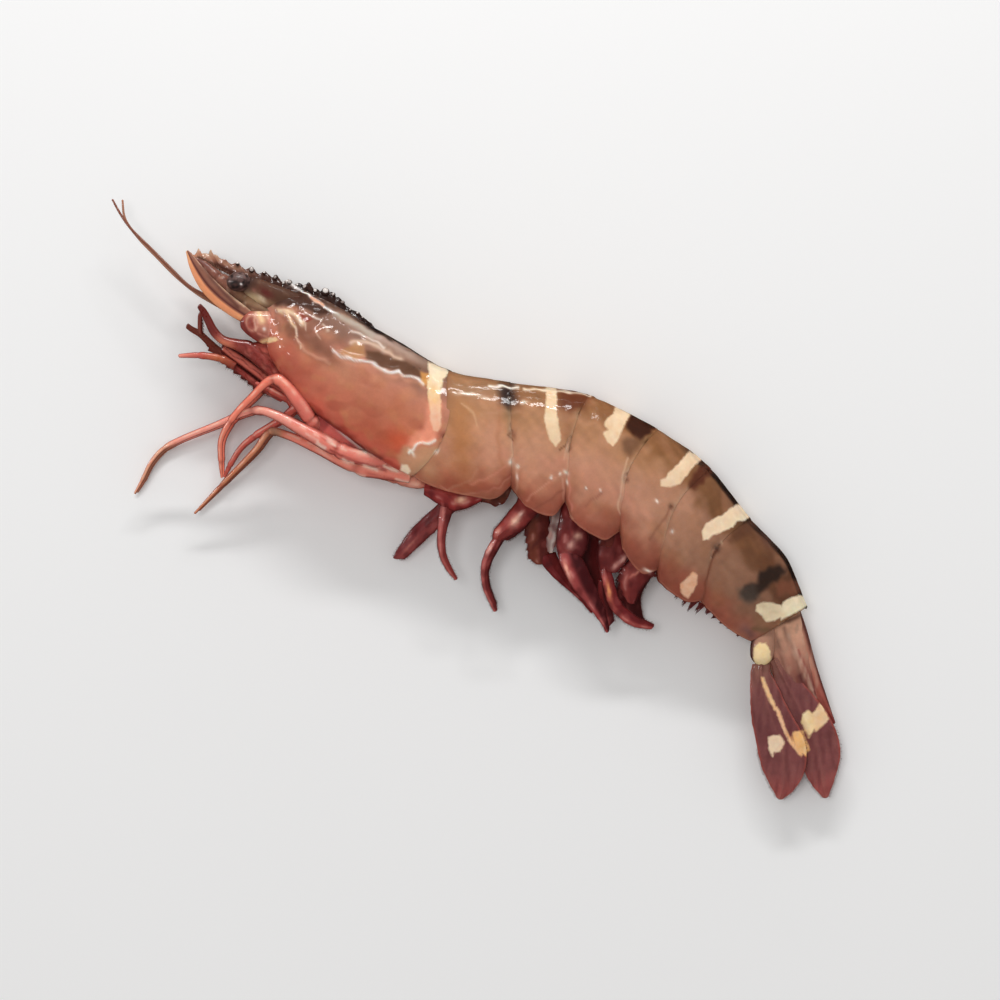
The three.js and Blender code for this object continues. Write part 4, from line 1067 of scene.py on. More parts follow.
def add_crest():
    """The rostrum and the bumpy crest behind it, sunk into the head shell."""
    place = np.linspace(0, len(CREST) - 1, CREST_ROWS)
    top, foot = smooth_path(CREST)(place), smooth_path(CREST_FOOT)(place)
    along = (place / place[-1])[:, None]
    rise = crest_rise(top)
    top[:, 1] += rise
    CREST_TOP.append(top)
    turn = around(CREST_COLUMNS)
    height = (1 + np.cos(turn)) / 2
    sign = np.sign(np.sin(turn))
    thick = CREST_THICK[0] + (CREST_THICK[1] - CREST_THICK[0]) * blend(0.1, 0.7, along)
    half = thick / 2 * (1.35 - 0.7 * height) * np.abs(np.sin(turn)) ** 0.7 * sign
    half = half + 0.2 * sign * hump(height, 0.4, 0.1) * blend(0.5, 0.3, along)
    grid = np.zeros((CREST_ROWS, CREST_COLUMNS, 3))
    grid[..., :2] = foot[:, None] + (top - foot)[:, None] * height[None, :, None]
    grid[..., 2] = HEAD_MIDDLE + half * blend(0, 0.03, along)
    grid += 0.05 * ripples(grid, 1.4, 71)[..., None]
    ends = np.stack([grid[0].mean(axis=0), grid[-1].mean(axis=0)])
    shape = Shape()
    shape.add_tube(grid, ends, crest_tint(grid, height, rise), rgb(HEAD_DARK))
    shape.piece("rostrum_crest", CREST_SKIN, "head_shell", ["carapace"])


# ---------------------------------------------------------------- limbs and blades

UP = np.array([0.0, 0.0, 1.0])
JOINT_SWELL, JOINT_GAP = 0.12, 0.10  # share of the size, and stations before and behind a joint


def joint_swelling(place, joints):
    """How much a limb is thickened at each place, and how near that is to the furrow behind a joint."""
    swell, near = np.ones(len(place)), np.zeros(len(place))
    for joint in joints:
        gap = place - joint
        swell += JOINT_SWELL * hump(gap, -JOINT_GAP, 0.12) - JOINT_SWELL * hump(gap, JOINT_GAP, 0.06)
        near = np.maximum(near, hump(gap, JOINT_GAP, 0.09))
    return swell, near


def rounded_tip(remaining, thick):
    """The share of its size that a limb keeps near its tip, as a half round."""
    radius = max(thick[-1], 0.1)
    return np.sqrt(np.clip(1 - (1 - np.minimum(remaining / radius, 1)) ** 2, 0.003, 1))


class Limb:
    """A limb or blade through stations of x, y, z, half width and half thickness, with its joints swollen."""

    def __init__(self, stations, columns, step, joints=(), rib=0.0, cup=0.0, waves=0.0, seed=0, sides=None):
        centre_at = smooth_path([s[:3] for s in stations])
        size_at = smooth_table([(s[3], s[4] if len(s) > 4 else s[3]) for s in stations])
        length = np.linalg.norm(np.diff(np.array([s[:3] for s in stations]), axis=0), axis=1).sum()
        rows = max(12, int(length / step))
        self.place = np.linspace(0, len(stations) - 1, rows)
        self.centre = centre_at(self.place)
        self.tangent = unit(np.gradient(self.centre, axis=0))
        self.side = unit(np.cross(UP, self.tangent) if sides is None else smooth_path(sides)(self.place))
        self.top = unit(np.cross(self.tangent, self.side))
        self.top *= np.sign(self.top[:, 2:])
        half, thick = np.maximum(size_at(self.place), 0.05).T
        travelled = np.concatenate([[0], np.cumsum(np.linalg.norm(np.diff(self.centre, axis=0), axis=1))])
        self.along = travelled / travelled[-1]
        swell, self.near_joint = joint_swelling(self.place, joints)
        rounding = rounded_tip(travelled[-1] - travelled, thick)
        self.half, self.thick = half * swell * rounding, thick * swell * rounding
        self.angle = around(columns)
        over, up = np.sin(self.angle), np.cos(self.angle)
        sideways = self.half[:, None] * over
        height = self.thick[:, None] * up + rib * hump(over, 0, 0.16) * np.sign(up) * self.thick[:, None]
        height = height + cup * self.half[:, None] * over ** 2
        grid = self.centre[:, None] + self.side[:, None] * sideways[..., None]
        self.grid = grid + self.top[:, None] * height[..., None]
        self.over = np.broadcast_to(over, grid.shape[:2])
        if waves:
            self.wave(waves, seed)

    def wave(self, height, seed):
        """Bends the edges up and down, and ruffles them a little sideways."""
        bend = height * ripples(self.grid[..., :2], 5.0, seed) * np.abs(self.over)
        bend = bend * blend(0.3, 1.5, self.half)[:, None]
        self.grid = self.grid + UP * bend[..., None]
        frill = 0.35 * height * self.over * ripples(self.grid[..., :2], 2.2, seed + 1)
        self.grid = self.grid + self.side[:, None] * frill[..., None]

    def plain(self, colour):
        """One colour all over."""
        return np.broadcast_to(rgb(colour), self.grid.shape)

    def shades(self, value, stops):
        """Colours graded by each ring's value."""
        return np.repeat(graded(value, stops)[:, None], self.grid.shape[1], 1)

    def streaks(self, squeeze, wavelength, seed):
        """Ripples drawn out along the axes that squeeze makes small."""
        return ripples(self.grid @ np.diag(squeeze), wavelength, seed)

    def swell(self, factors):
        """Scales each ring about its centre."""
        self.grid = self.centre[:, None] + (self.grid - self.centre[:, None]) * factors[:, None, None]

    def add_to(self, shape, tint):
        shape.add_tube(self.grid, self.centre[[0, -1]], tint, tint[[0, -1], 0])

    def painted(self, tint):
        """The limb as a shape of its own."""
        shape = Shape()
        self.add_to(shape, tint)
        return shape

    def edge(self, side, start, end):
        """Points along one edge, 1 or -1, and the direction out of it."""
        column = len(self.angle) // 4 if side > 0 else 3 * len(self.angle) // 4
        rows = (self.along >= start) & (self.along <= end)
        return self.grid[rows, column], self.side[rows] * side, self.tangent[rows]


def ribbon(left, right, heights, thick, **looks):
    """A flat blade between its left and right edges, given as places in the picture."""
    left, right = np.array(marks(*left)), np.array(marks(*right))
    stations, sides = [], []
    for a, b, height, half_thick in zip(left, right, heights, thick):
        reach = (a - b) / 2
        stations.append((*(a + b) / 2, height, np.hypot(*reach), half_thick))
        sides.append((*unit(reach), 0.0))
    return Limb(stations, sides=sides, **looks)


def saw_edge(limb, edge, count, height, start, end):
    """Gives one edge of a blade teeth that point to its tip."""
    wave = (limb.along * count) % 1.0
    reach = height * wave * blend(start, start + 0.05, limb.along) * blend(end, end - 0.05, limb.along)
    outer = np.clip(edge * limb.over, 0, 1) ** 4
    limb.grid = limb.grid + limb.side[:, None] * (edge * reach[:, None] * outer)[..., None]


def add_hairs(shape, roots, directions, length, colour, seed, thick=0.05, droop=0.25, spread=0.35):
    """Fine bristles: each a bent three-sided spike from its root."""
    draw = np.random.default_rng(seed)
    count = len(roots)
    directions = unit(directions + spread * draw.normal(size=(count, 3)))
    lengths = length * draw.uniform(0.6, 1.15, (count, 1))
    side = unit(np.cross(directions, UP + 0.1))
    other = np.cross(directions, side)
    sag = -UP * droop * lengths
    middle = roots + directions * lengths * 0.55 + sag * 0.3
    tip = roots + directions * lengths + sag
    turns = [2 * math.pi * k / 3 for k in range(3)]
    corners = np.stack([side * math.cos(turn) + other * math.sin(turn) for turn in turns], 1)
    low = roots[:, None] - directions[:, None] * 0.15 + corners * thick
    mid = middle[:, None] + corners * thick * 0.7
    points = np.concatenate([low, mid, tip[:, None]], 1)
    quads = [[k, (k + 1) % 3, 3 + (k + 1) % 3, 3 + k] for k in range(3)]
    fans = [[3 + k, 3 + (k + 1) % 3, 6] for k in range(3)] + [[2, 1, 0]]
    offset = np.arange(count)[:, None, None] * 7
    faces = [(np.array(quads)[None] + offset).reshape(-1, 4), (np.array(fans)[None] + offset).reshape(-1, 3)]
    shape.add(points.reshape(-1, 3), faces, rgb(colour))


def sampled(rows, count, seed):
    """That many rows drawn evenly, with a little unevenness."""
    places = np.linspace(0, rows - 1, count) + np.random.default_rng(seed).uniform(-0.5, 0.5, count)
    return np.clip(places, 0, rows - 1).round().astype(int)


def fringe(shape, limb, side, count, length, colour, seed, start, end, lean=0.6, thick=0.05):
    """Bristles along one edge of a limb, leaning to its tip."""
    points, outwards, tangents = limb.edge(side, start, end)
    pick = sampled(len(points), count, seed)
    add_hairs(shape, points[pick], outwards[pick] + lean * tangents[pick], length, colour, seed, thick)


# ---------------------------------------------------------------- walking legs

LEGS = [  # x, y, z of the left leg, z of the right leg, half width
    [(-35.4, 18.0, 12.6, 7.4, 1.0), (-40.1, 21.2, 12.2, 7.2, 0.8), (-44.2, 23.4, 12.5, 6.8, 0.75),
     (-47.6, 25.2, 12.6, 6.4, 0.4)],
    [(-33.8, 15.4, 13.2, 6.8, 0.9), (-35.6, 17.2, 16.2, 4.0, 0.95), (-37.9, 20.7, 17.5, 2.2, 0.95),
     (-43.1, 25.8, 17.4, 2.4, 0.9), (-48.7, 21.4, 16.5, 3.4, 0.8), (-52.6, 17.1, 15.4, 3.9, 0.7),
     (-54.9, 12.8, 13.6, 3.7, 0.6), (-55.1, 8.5, 12.0, 3.8, 0.5), (-54.9, 4.6, 10.4, 4.4, 0.25)],
    [(-27.2, 11.8, 13.2, 6.6, 1.0), (-32.6, 17.1, 14.4, 5.6, 0.9), (-37.0, 20.4, 14.8, 5.0, 0.9),
     (-42.2, 17.1, 12.1, 5.2, 0.85), (-47.6, 13.9, 9.6, 5.0, 0.7), (-50.8, 11.3, 8.6, 4.6, 0.6),
     (-53.4, 7.4, 7.2, 4.0, 0.5), (-54.7, 4.8, 6.0, 3.4, 0.25)],
    [(-19.7, 8.6, 13.6, 6.4, 1.0), (-24.4, 9.0, 15.9, 4.0, 0.95), (-29.3, 10.6, 16.6, 3.3, 0.95),
     (-35.8, 14.2, 16.7, 2.6, 0.95), (-43.3, 18.2, 15.7, 2.1, 0.9), (-47.4, 19.2, 14.7, 2.0, 0.85),
     (-56.2, 16.0, 12.2, 1.6, 0.7), (-67.0, 11.3, 9.0, 1.2, 0.6), (-70.2, 8.1, 7.6, 1.0, 0.55),
     (-72.3, 4.2, 6.2, 0.8, 0.45), (-74.1, 1.2, 5.0, 0.6, 0.25)],
    [(-14.3, 5.2, 12.8, 7.0, 1.0), (-25.0, 6.9, 13.8, 5.9, 0.95), (-33.6, 10.8, 13.8, 5.4, 0.95),
     (-41.2, 14.0, 13.4, 3.8, 0.9), (-44.2, 14.6, 13.1, 3.0, 0.85), (-47.6, 10.6, 11.4, 2.4, 0.75),
     (-54.7, 3.5, 8.0, 1.4, 0.55), (-61.2, -3.1, 4.6, 0.7, 0.25)],
]
LEG_JOINTS = [(1, 2), (1, 3, 5, 7), (1, 2, 4, 6), (2, 5, 7, 9), (1, 4, 6)]
RIGHT_LEG_SHARE = 0.9  # of the left leg's last step
LEG_SWELLS = [0.8, 0.7, 0.5, 0.8, 0.7]  # how much thicker the legs' upper parts are
TOED_LEG = 3  # the one with a pale foot and a brown line along it
BROWN_LEG = 4  # the one that is brown below its knee
KNEE_PLACE = 3.6


def leg_stations(index, side):
    """The stations of a walking leg, where the right one ends a little sooner."""
    rows = [(x, y, left if side == "left" else right, half) for x, y, left, right, half in LEGS[index]]
    if side == "right":
        before, last = np.array(rows[-2]), np.array(rows[-1])
        rows[-1] = tuple(before + (last - before) * RIGHT_LEG_SHARE)
    return rows


LEG_COLOURS = [(206, 98, 84), (246, 136, 112), (226, 110, 96), (255, 166, 148), (210, 132, 96)]
LEG_UPPERS = [(206, 98, 84), (230, 120, 106), (222, 102, 94), (236, 126, 110), (250, 144, 126)]
# dark edge colour of the legs and the palp: partly the shell's own colour, partly painted shade
LEG_EDGE = (134, 50, 44)
LEG_PAINTED_LIGHT_SPOTS = [  # painted highlights, and painted shade in the seams between legs: picture place, half sizes in mm, turn, colour, strength
    (331, 440, 1.4, 0.35, -35, (255, 222, 204), 0.85), (362, 452, 2.6, 0.4, -12, (255, 216, 196), 0.8),
    (368, 467, 1.4, 0.4, -20, (255, 216, 196), 0.8), (394, 468, 1.2, 0.5, -10, (255, 214, 190), 0.85),
    (412, 476, 1.4, 0.5, -10, (240, 190, 160), 0.7), (345, 462, 1.4, 0.4, -30, (250, 200, 180), 0.6),
    (353, 474, 2.2, 0.4, -28, (255, 206, 184), 0.7), (380, 482, 1.8, 0.4, -14, (255, 214, 196), 0.8),
    (398, 486, 1.4, 0.4, -10, (250, 206, 180), 0.8), (322, 452, 2.0, 0.4, -36, (255, 200, 180), 0.7),
    (372, 474, 1.6, 0.3, -16, (176, 78, 70), 0.6), (390, 478, 2.0, 0.3, -12, (176, 78, 70), 0.6),
    (416, 484, 1.6, 0.6, -8, (250, 196, 170), 0.7),
]
# painted highlights, and painted shade in the seams between legs: path, width, colour, strength
LEG_PAINTED_LIGHT_LINES = [(marks(317, 443, 321, 446, 325, 448), 0.32, (255, 230, 212), 0.95),
             (marks(327, 441, 331, 444, 335, 446), 0.26, (255, 224, 204), 0.9),
             (marks(343, 459, 348, 462, 353, 463), 0.28, (255, 222, 202), 0.85),
             (marks(364, 465, 371, 467, 377, 470), 0.32, (255, 226, 206), 0.9),
             (marks(384, 466, 390, 469, 397, 471), 0.34, (255, 222, 198), 0.9),
             (marks(352, 472, 359, 475, 365, 476), 0.24, (255, 206, 186), 0.8),
             (marks(396, 479, 402, 481, 408, 482), 0.28, (255, 214, 190), 0.85),
             (marks(306, 433, 312, 438, 318, 441), 0.22, (255, 206, 188), 0.7),
             (marks(330, 450, 344, 457, 358, 462, 372, 466, 386, 471), 0.2, (156, 58, 52), 0.75),
             (marks(316, 436, 326, 441, 338, 450), 0.16, (170, 70, 62), 0.6),
             (marks(318, 412, 331, 422, 343, 434, 356, 444, 366, 452), 0.22, (252, 232, 222), 0.9),
             (marks(310, 418, 326, 434, 350, 452, 380, 468), 0.25, (236, 150, 134), 0.5)]
THIGH_LEG = 2
THIGH_EDGES = ((308, 397, 326, 410, 350, 430, 378, 452, 404, 470),
               (299, 408, 312, 428, 336, 450, 364, 468, 397, 474))
THIGH_HEIGHTS = {"left": (15.6, 15.0, 14.4, 14.2, 14.0), "right": (5.4, 5.4, 5.6, 5.8, 6.0)}
THIGH_THICK = (1.0, 1.1, 1.1, 1.0, 0.8)
THIGH_COLOURS = [(0, (255, 128, 118)), (0.7, (240, 112, 102)), (1, (244, 134, 118))]
LEG_PAINTED_HIGHLIGHT = (254, 214, 192)


def leg_tint(limb, index):
    """A leg's colours, with a painted highlight along it, dark edges that are partly painted shade, dark
    joints, the two odd legs' own marks, and painted highlights and shade between the legs.
    """
    noise = ripples(limb.grid, 3.0, 80 + index)
    upper = blend(KNEE_PLACE, 2.8, limb.place) if index == BROWN_LEG else blend(0.45, 0.15, limb.along)
    tint = mixed(limb.plain(LEG_COLOURS[index]), LEG_UPPERS[index], 0.85 * upper[:, None])
    # painted highlight along the leg
    tint = mixed(tint, LEG_PAINTED_HIGHLIGHT, 0.7 * hump(limb.over, -0.3, 0.24) * blend(-0.8, 0.8, noise))
    # dark edges: partly the shell's own colour, partly painted shade
    tint = mixed(tint, LEG_EDGE, 0.75 * blend(0.6, 1.0, np.abs(limb.over)))
    tint = mixed(tint, (146, 62, 52), 0.3 * limb.near_joint[:, None])
    if index == TOED_LEG:
        toe = blend(0.74, 0.82, limb.along)[:, None]
        tint = mixed(tint, (238, 176, 138), 0.6 * toe)
        tint = mixed(tint, (104, 54, 38), 0.85 * toe * hump(limb.over, 0.55, 0.3))
    if index == BROWN_LEG:
        tint = mixed(tint, (112, 60, 44), 0.7 * hump(limb.over, 0.75, 0.25) * (1 - upper[:, None]))
        tint = mixed(tint, (150, 116, 96), 0.6 * hump(limb.place, KNEE_PLACE, 0.5)[:, None])
    return marked(tint, seen(limb.grid), LEG_PAINTED_LIGHT_SPOTS, LEG_PAINTED_LIGHT_LINES)


def add_thigh(shape, side):
    """The broad flat upper part of one leg."""
    thigh = ribbon(*THIGH_EDGES, THIGH_HEIGHTS[side], THIGH_THICK, columns=32, step=0.25, waves=0.1, seed=95)
    tint = thigh.shades(thigh.along, THIGH_COLOURS)
    tint = mixed(tint, (156, 58, 56), 0.6 * blend(0.0, 1.2, thigh.streaks([0.3, 0.3, 1], 1.2, 96)))
    # the thigh gets the legs' painted highlights and seam shade too
    thigh.add_to(shape, marked(tint, seen(thigh.grid), LEG_PAINTED_LIGHT_SPOTS, LEG_PAINTED_LIGHT_LINES))


def add_leg(index, side):
    limb = Limb(leg_stations(index, side), columns=24, step=0.2, joints=LEG_JOINTS[index])
    limb.swell(1 + LEG_SWELLS[index] * blend(0.5, 0.2, limb.along))
    shape = limb.painted(leg_tint(limb, index))
    if index == THIGH_LEG:
        add_thigh(shape, side)
    shape.skin(f"leg_{side}_{index + 1}", LIMB_SKIN, "leg")


BREAST_SWELLINGS = 5
STERNUM = [(-38.4, 20.6, 10, 1.4, 2.6), (-32.0, 14.6, 10, 2.2, 3.4), (-24.0, 9.0, 10, 2.5, 3.6),
           (-16.5, 5.4, 9.9, 2.2, 3.4), (-10.2, 3.0, 9.8, 1.0, 2.2)]


def add_sternum():
    """The breast plate between the legs, in swellings."""
    limb = Limb(STERNUM, columns=48, step=0.25)
    swelling = 0.28 * np.abs(np.sin(limb.along * math.pi * BREAST_SWELLINGS)) ** 0.7 - 0.12
    out = unit(limb.grid - limb.centre[:, None])
    limb.grid = limb.grid + out * swelling[:, None, None]
    limb.grid += 0.06 * ripples(limb.grid, 1.6, 90)[..., None] * out
    tint = mixed(limb.plain((226, 128, 108)), (244, 180, 156), blend(0.0, 0.28, swelling)[:, None] * 0.7)
    # the breast plate gets the legs' painted highlights and seam shade too
    limb.painted(marked(tint, seen(limb.grid), LEG_PAINTED_LIGHT_SPOTS)).skin("sternum", LIMB_SKIN, "leg")


# ---------------------------------------------------------------- the head's limbs

EYE_CENTRE, EYE_RADII = (-51.0, 46.7, 15.2), (2.6, 2.1, 1.9)
# a painted highlight on the eye
EYE_PAINTED_GLINT = (241, 284, 0.4, 0.3, -20, (255, 250, 246), 1.0)
EYE_STALK = [(-38.8, 41.6, 13.6, 2.6, 1.6), (-42.0, 42.8, 14.0, 2.8, 1.5), (-44.6, 43.8, 14.2, 2.7, 1.4),
             (-47.2, 45.2, 14.4, 2.3, 1.4), (-49.8, 46.5, 14.8, 1.9, 1.4)]
ANTENNULE = [(-43.8, 40.4, 11.9, 2.0), (-49.6, 42.8, 11.9, 2.2), (-55.0, 46.8, 11.8, 1.8),
             (-59.0, 50.6, 11.8, 1.0), (-60.8, 52.0, 11.8, 0.35)]
ANTENNULE_COLOURS = [(0, (206, 174, 144)), (0.5, (190, 154, 122)), (1, (160, 122, 92)), (1.6, (146, 96, 78)),
                     (3, (134, 82, 72)), (4, (120, 70, 62))]
ANTENNA_BASE = [(-39.0, 36.0, 13.2, 2.4, 1.8), (-42.6, 36.6, 14.2, 3.5, 1.9), (-45.2, 37.0, 14.6, 3.6, 1.8),
                (-48.0, 37.9, 14.6, 2.8, 1.5), (-50.4, 39.2, 14.6, 1.7, 1.2)]
SCALE = [(-48.2, 38.8, 14.8, 1.2, 0.5), (-50.5, 40.1, 15.0, 1.7, 0.5), (-54.3, 42.8, 15.0, 1.9, 0.4),
         (-57.8, 46.2, 14.8, 1.8, 0.35), (-60.5, 50.2, 14.4, 1.2, 0.3), (-62.2, 53.5, 14.0, 0.3, 0.25)]
WHIPS = {
    "left": [(-48.6, 38.2, 13.0, 0.6), (-50.0, 38.9, 12.9, 0.5), (-56.8, 43.1, 13.2, 0.4),
             (-61.6, 45.7, 13.0, 0.38), (-65.9, 49.8, 12.4, 0.36), (-70.2, 54.1, 11.6, 0.33),
             (-74.5, 58.4, 10.8, 0.3), (-76.8, 61.6, 10.2, 0.27), (-78.6, 64.8, 9.6, 0.22)],
    "right": [(-49.0, 38.0, 6.2, 0.5), (-50.4, 38.6, 6.3, 0.45), (-55.4, 41.6, 6.7, 0.4),
              (-60.3, 44.5, 7.0, 0.38), (-64.8, 48.1, 7.1, 0.36), (-69.1, 52.4, 7.2, 0.33),
              (-73.4, 56.9, 7.4, 0.3), (-76.0, 60.8, 7.7, 0.27), (-76.5, 64.8, 8.0, 0.22)],
}
WHIP_RINGS = 90
PALP = [(-52.0, 28.6, 12.6, 0.9), (-54.7, 30.2, 12.8, 0.85), (-59.4, 31.0, 12.8, 0.7), (-64.2, 30.9, 12.6, 0.4)]
PALP_COLOURS = [(0, (140, 62, 48)), (0.35, (196, 108, 74)), (0.6, (206, 100, 88)), (1, (238, 152, 134))]
JAW_FOOT_SPOT = (224, 343, 2.6, 0.9, -25, (240, 148, 112), 0.8)

BASE_COLOURS = [(0, (176, 98, 82)), (2, (194, 126, 106)), (4, (168, 94, 78))]
BASE_STROKES = [  # path, width, colour, strength
    (marks(241, 317, 246, 330, 254, 343), 1.2, (158, 66, 58), 0.75),
    (marks(246, 314, 252, 310), 0.6, (176, 96, 80), 0.6),
    (marks(258.5, 312.5, 260, 316.5, 262, 320.5), 0.8, (250, 214, 166), 0.95),
    # painted glint
    (marks(264, 328.5, 264.5, 329.5), 0.35, (252, 236, 226), 0.9),
    (marks(269, 318, 272.5, 325, 270, 334), 0.45, (240, 166, 150), 0.85),
    (oval(*marks(252, 323)[0], 1.3, 1.7), 0.3, (232, 180, 156), 0.6),
    (marks(251, 321, 253.5, 326), 0.55, (140, 64, 56), 0.85),
    (marks(238, 316, 246, 328, 252, 342), 0.4, (118, 48, 44), 0.7),
    (marks(262, 342, 268, 340, 276, 339), 0.55, (250, 206, 150), 0.95),
    (marks(256, 312, 254, 320, 256, 330), 0.25, (240, 190, 166), 0.6),
    (marks(266, 312, 268, 318), 0.3, (236, 200, 170), 0.7),
    (marks(258, 333, 262, 336, 267, 336), 0.25, (222, 150, 130), 0.7),
]

SCALE_LINES = [
    (marks(196, 256, 206, 269, 219, 283, 232, 295, 244, 306), 0.24, (216, 184, 152), 0.85),
    (marks(203, 266, 212, 279, 224, 293, 238, 307), 0.4, (92, 54, 46), 0.7),
    (marks(200, 257, 211, 268, 223, 281, 236, 294), 0.3, (112, 72, 60), 0.6),
    (marks(214, 279, 226, 291, 240, 304), 0.16, (200, 160, 130), 0.6),
]
STALK_COLOURS = [(0, (84, 56, 44)), (1.4, (92, 62, 48)), (3, (100, 68, 54)), (4, (62, 42, 38))]
STALK_SPOTS = [(266, 293, 1.7, 0.9, -32, (100, 40, 38), 0.85), (254, 290, 0.6, 0.4, -40, (150, 92, 84), 0.7),
               (256, 299, 2.8, 1.0, -30, (212, 186, 146), 0.9), (270, 303, 2.0, 0.6, -20, (150, 112, 84), 0.6),
               (262, 299, 1.2, 0.4, -40, (236, 218, 190), 0.8), (250, 297, 1.4, 0.3, -35, (214, 190, 150), 0.7)]


def one_side(stations, side):
    """The stations of the left limb, or their mirror image in the head's middle plane."""
    if side == "left":
        return stations
    return [(s[0], s[1], 2 * HEAD_MIDDLE - s[2], *s[3:]) for s in stations]


def globe(rows, columns, margin):
    """A ball of radius 1 in rings, from so many radians off one pole to the same off the other."""
    polar = np.linspace(margin, math.pi - margin, rows)[:, None]
    turn = around(columns)[None]
    return np.stack([np.sin(polar) * np.cos(turn), np.sin(polar) * np.sin(turn),
                     np.cos(polar) * np.ones_like(turn)], -1)


def add_eye(side):
    """The black eyeball, and the brown stalk that carries it."""
    (centre,) = one_side([EYE_CENTRE], side)
    ball = globe(rows=40, columns=56, margin=0.02)
    grid = ball * np.array(EYE_RADII) + np.array(centre)
    top = blend(-0.6, 0.9, ball[..., 1] + 0.3 * ripples(ball, 0.8, 130))
    mottle = ripples(ball, 0.5, 133)
    tint = mixed(np.broadcast_to(rgb(EYE_BLACK), grid.shape), EYE_GREY, 0.8 * top)
    tint = mixed(tint, (142, 98, 92), 0.5 * blend(0.3, 1.2, mottle))
    tint = mixed(tint, (26, 16, 16), 0.7 * blend(0.3, 1.2, -mottle))
    tint = marked(tint, seen(grid), [EYE_PAINTED_GLINT])
    poles = [np.array(centre) + [0, 0, EYE_RADII[2]], np.array(centre) - [0, 0, EYE_RADII[2]]]
    shape = Shape()
    shape.add_tube(grid, poles, tint, rgb(EYE_BLACK))
    node = f"eye_{side}"
    shape.piece(f"{node}_ball", EYE_SKIN, "eye", [node])

    stalk = Limb(one_side(EYE_STALK, side), columns=28, step=0.2)
    tint = marked(stalk.shades(stalk.place, STALK_COLOURS), seen(stalk.grid), STALK_SPOTS)
    tint = mixed(tint, (130, 96, 74), 0.3 * cloud(stalk.grid, 1.4, 131, 0.4, 1.2))
    stalk.painted(tint).piece(f"{node}_stalk", STALK_SKIN, "feeler")


def add_antennule(side):
    """The upper feeler's three thick segments and its hairy edge."""
    limb = Limb(one_side(ANTENNULE, side), columns=36, step=0.2, joints=(1.0, 2.1), cup=0.1)
    lines = np.abs(np.sin(limb.angle * 3 + 0.5)) ** 5
    tint = mixed(limb.shades(limb.place, ANTENNULE_COLOURS), (96, 60, 50), 0.5 * lines[None])
    tint = mixed(tint, (222, 190, 164), 0.35 * cloud(limb.grid, 1.6, 100, 0.4, 1.2))
    node = f"antennule_{side}"
    limb.painted(tint).skin(node, FEELER_SKIN, "feeler")
    bristles = Shape()
    fringe(bristles, limb, -1, count=90, length=0.9, colour=(150, 112, 90), seed=101, start=0.45, end=0.98)
    bristles.piece(f"{node}_bristles", BRISTLE, "feeler")


def add_antenna(side):
    """The lower feeler: a ringed base, a stiff scale and the long whip."""
    base = Limb(one_side(ANTENNA_BASE, side), columns=44, step=0.16)
    xy = seen(base.grid)
    base.grid = base.grid - UP * ridge(base.grid, oval(*marks(252, 323)[0], 0.7, 0.9), 0.22, 0.4)[..., None]
    tint = mixed(base.shades(base.place, BASE_COLOURS), (128, 56, 50), 0.8 * blend(0.1, 0.8, base.over))
    base.painted(marked(tint, xy, strokes=BASE_STROKES)).skin(f"antenna_base_{side}", FEELER_SKIN, "feeler")

    blade = Limb(one_side(SCALE, side), columns=40, step=0.18, cup=-0.12)
    tint = mixed(blade.plain(SCALE_BROWN), SCALE_ORANGE, blend(0.08, 0.3, blade.over))
    ends = blend(0.55, 1.0, np.abs(blade.along - 0.5) * 2)[:, None]
    tint = mixed(tint, (246, 196, 140), 0.8 * hump(blade.over, 0.6, 0.16) * ends)
    tint = mixed(tint, (84, 42, 42), 0.9 * hump(blade.over, -0.02, 0.14))
    tint = mixed(tint, (206, 168, 142), 0.85 * hump(blade.over, -0.94, 0.12))
    tint = marked(tint, seen(blade.grid), strokes=SCALE_LINES)
    blade.painted(tint).skin(f"antennal_scale_{side}", FEELER_SKIN, "feeler")

    whip = Limb(WHIPS[side], columns=10, step=0.12)
    whip.swell(1 + 0.10 * np.sin(whip.along * 2 * math.pi * WHIP_RINGS))
    colour = FEELER_BROWN if side == "left" else FEELER_TAN
    tint = whip.shades(whip.along, [(0, (186, 96, 80)), (0.25, colour), (1, colour)])
    whip.painted(tint).skin(f"antenna_{side}", FEELER_SKIN, "feeler")


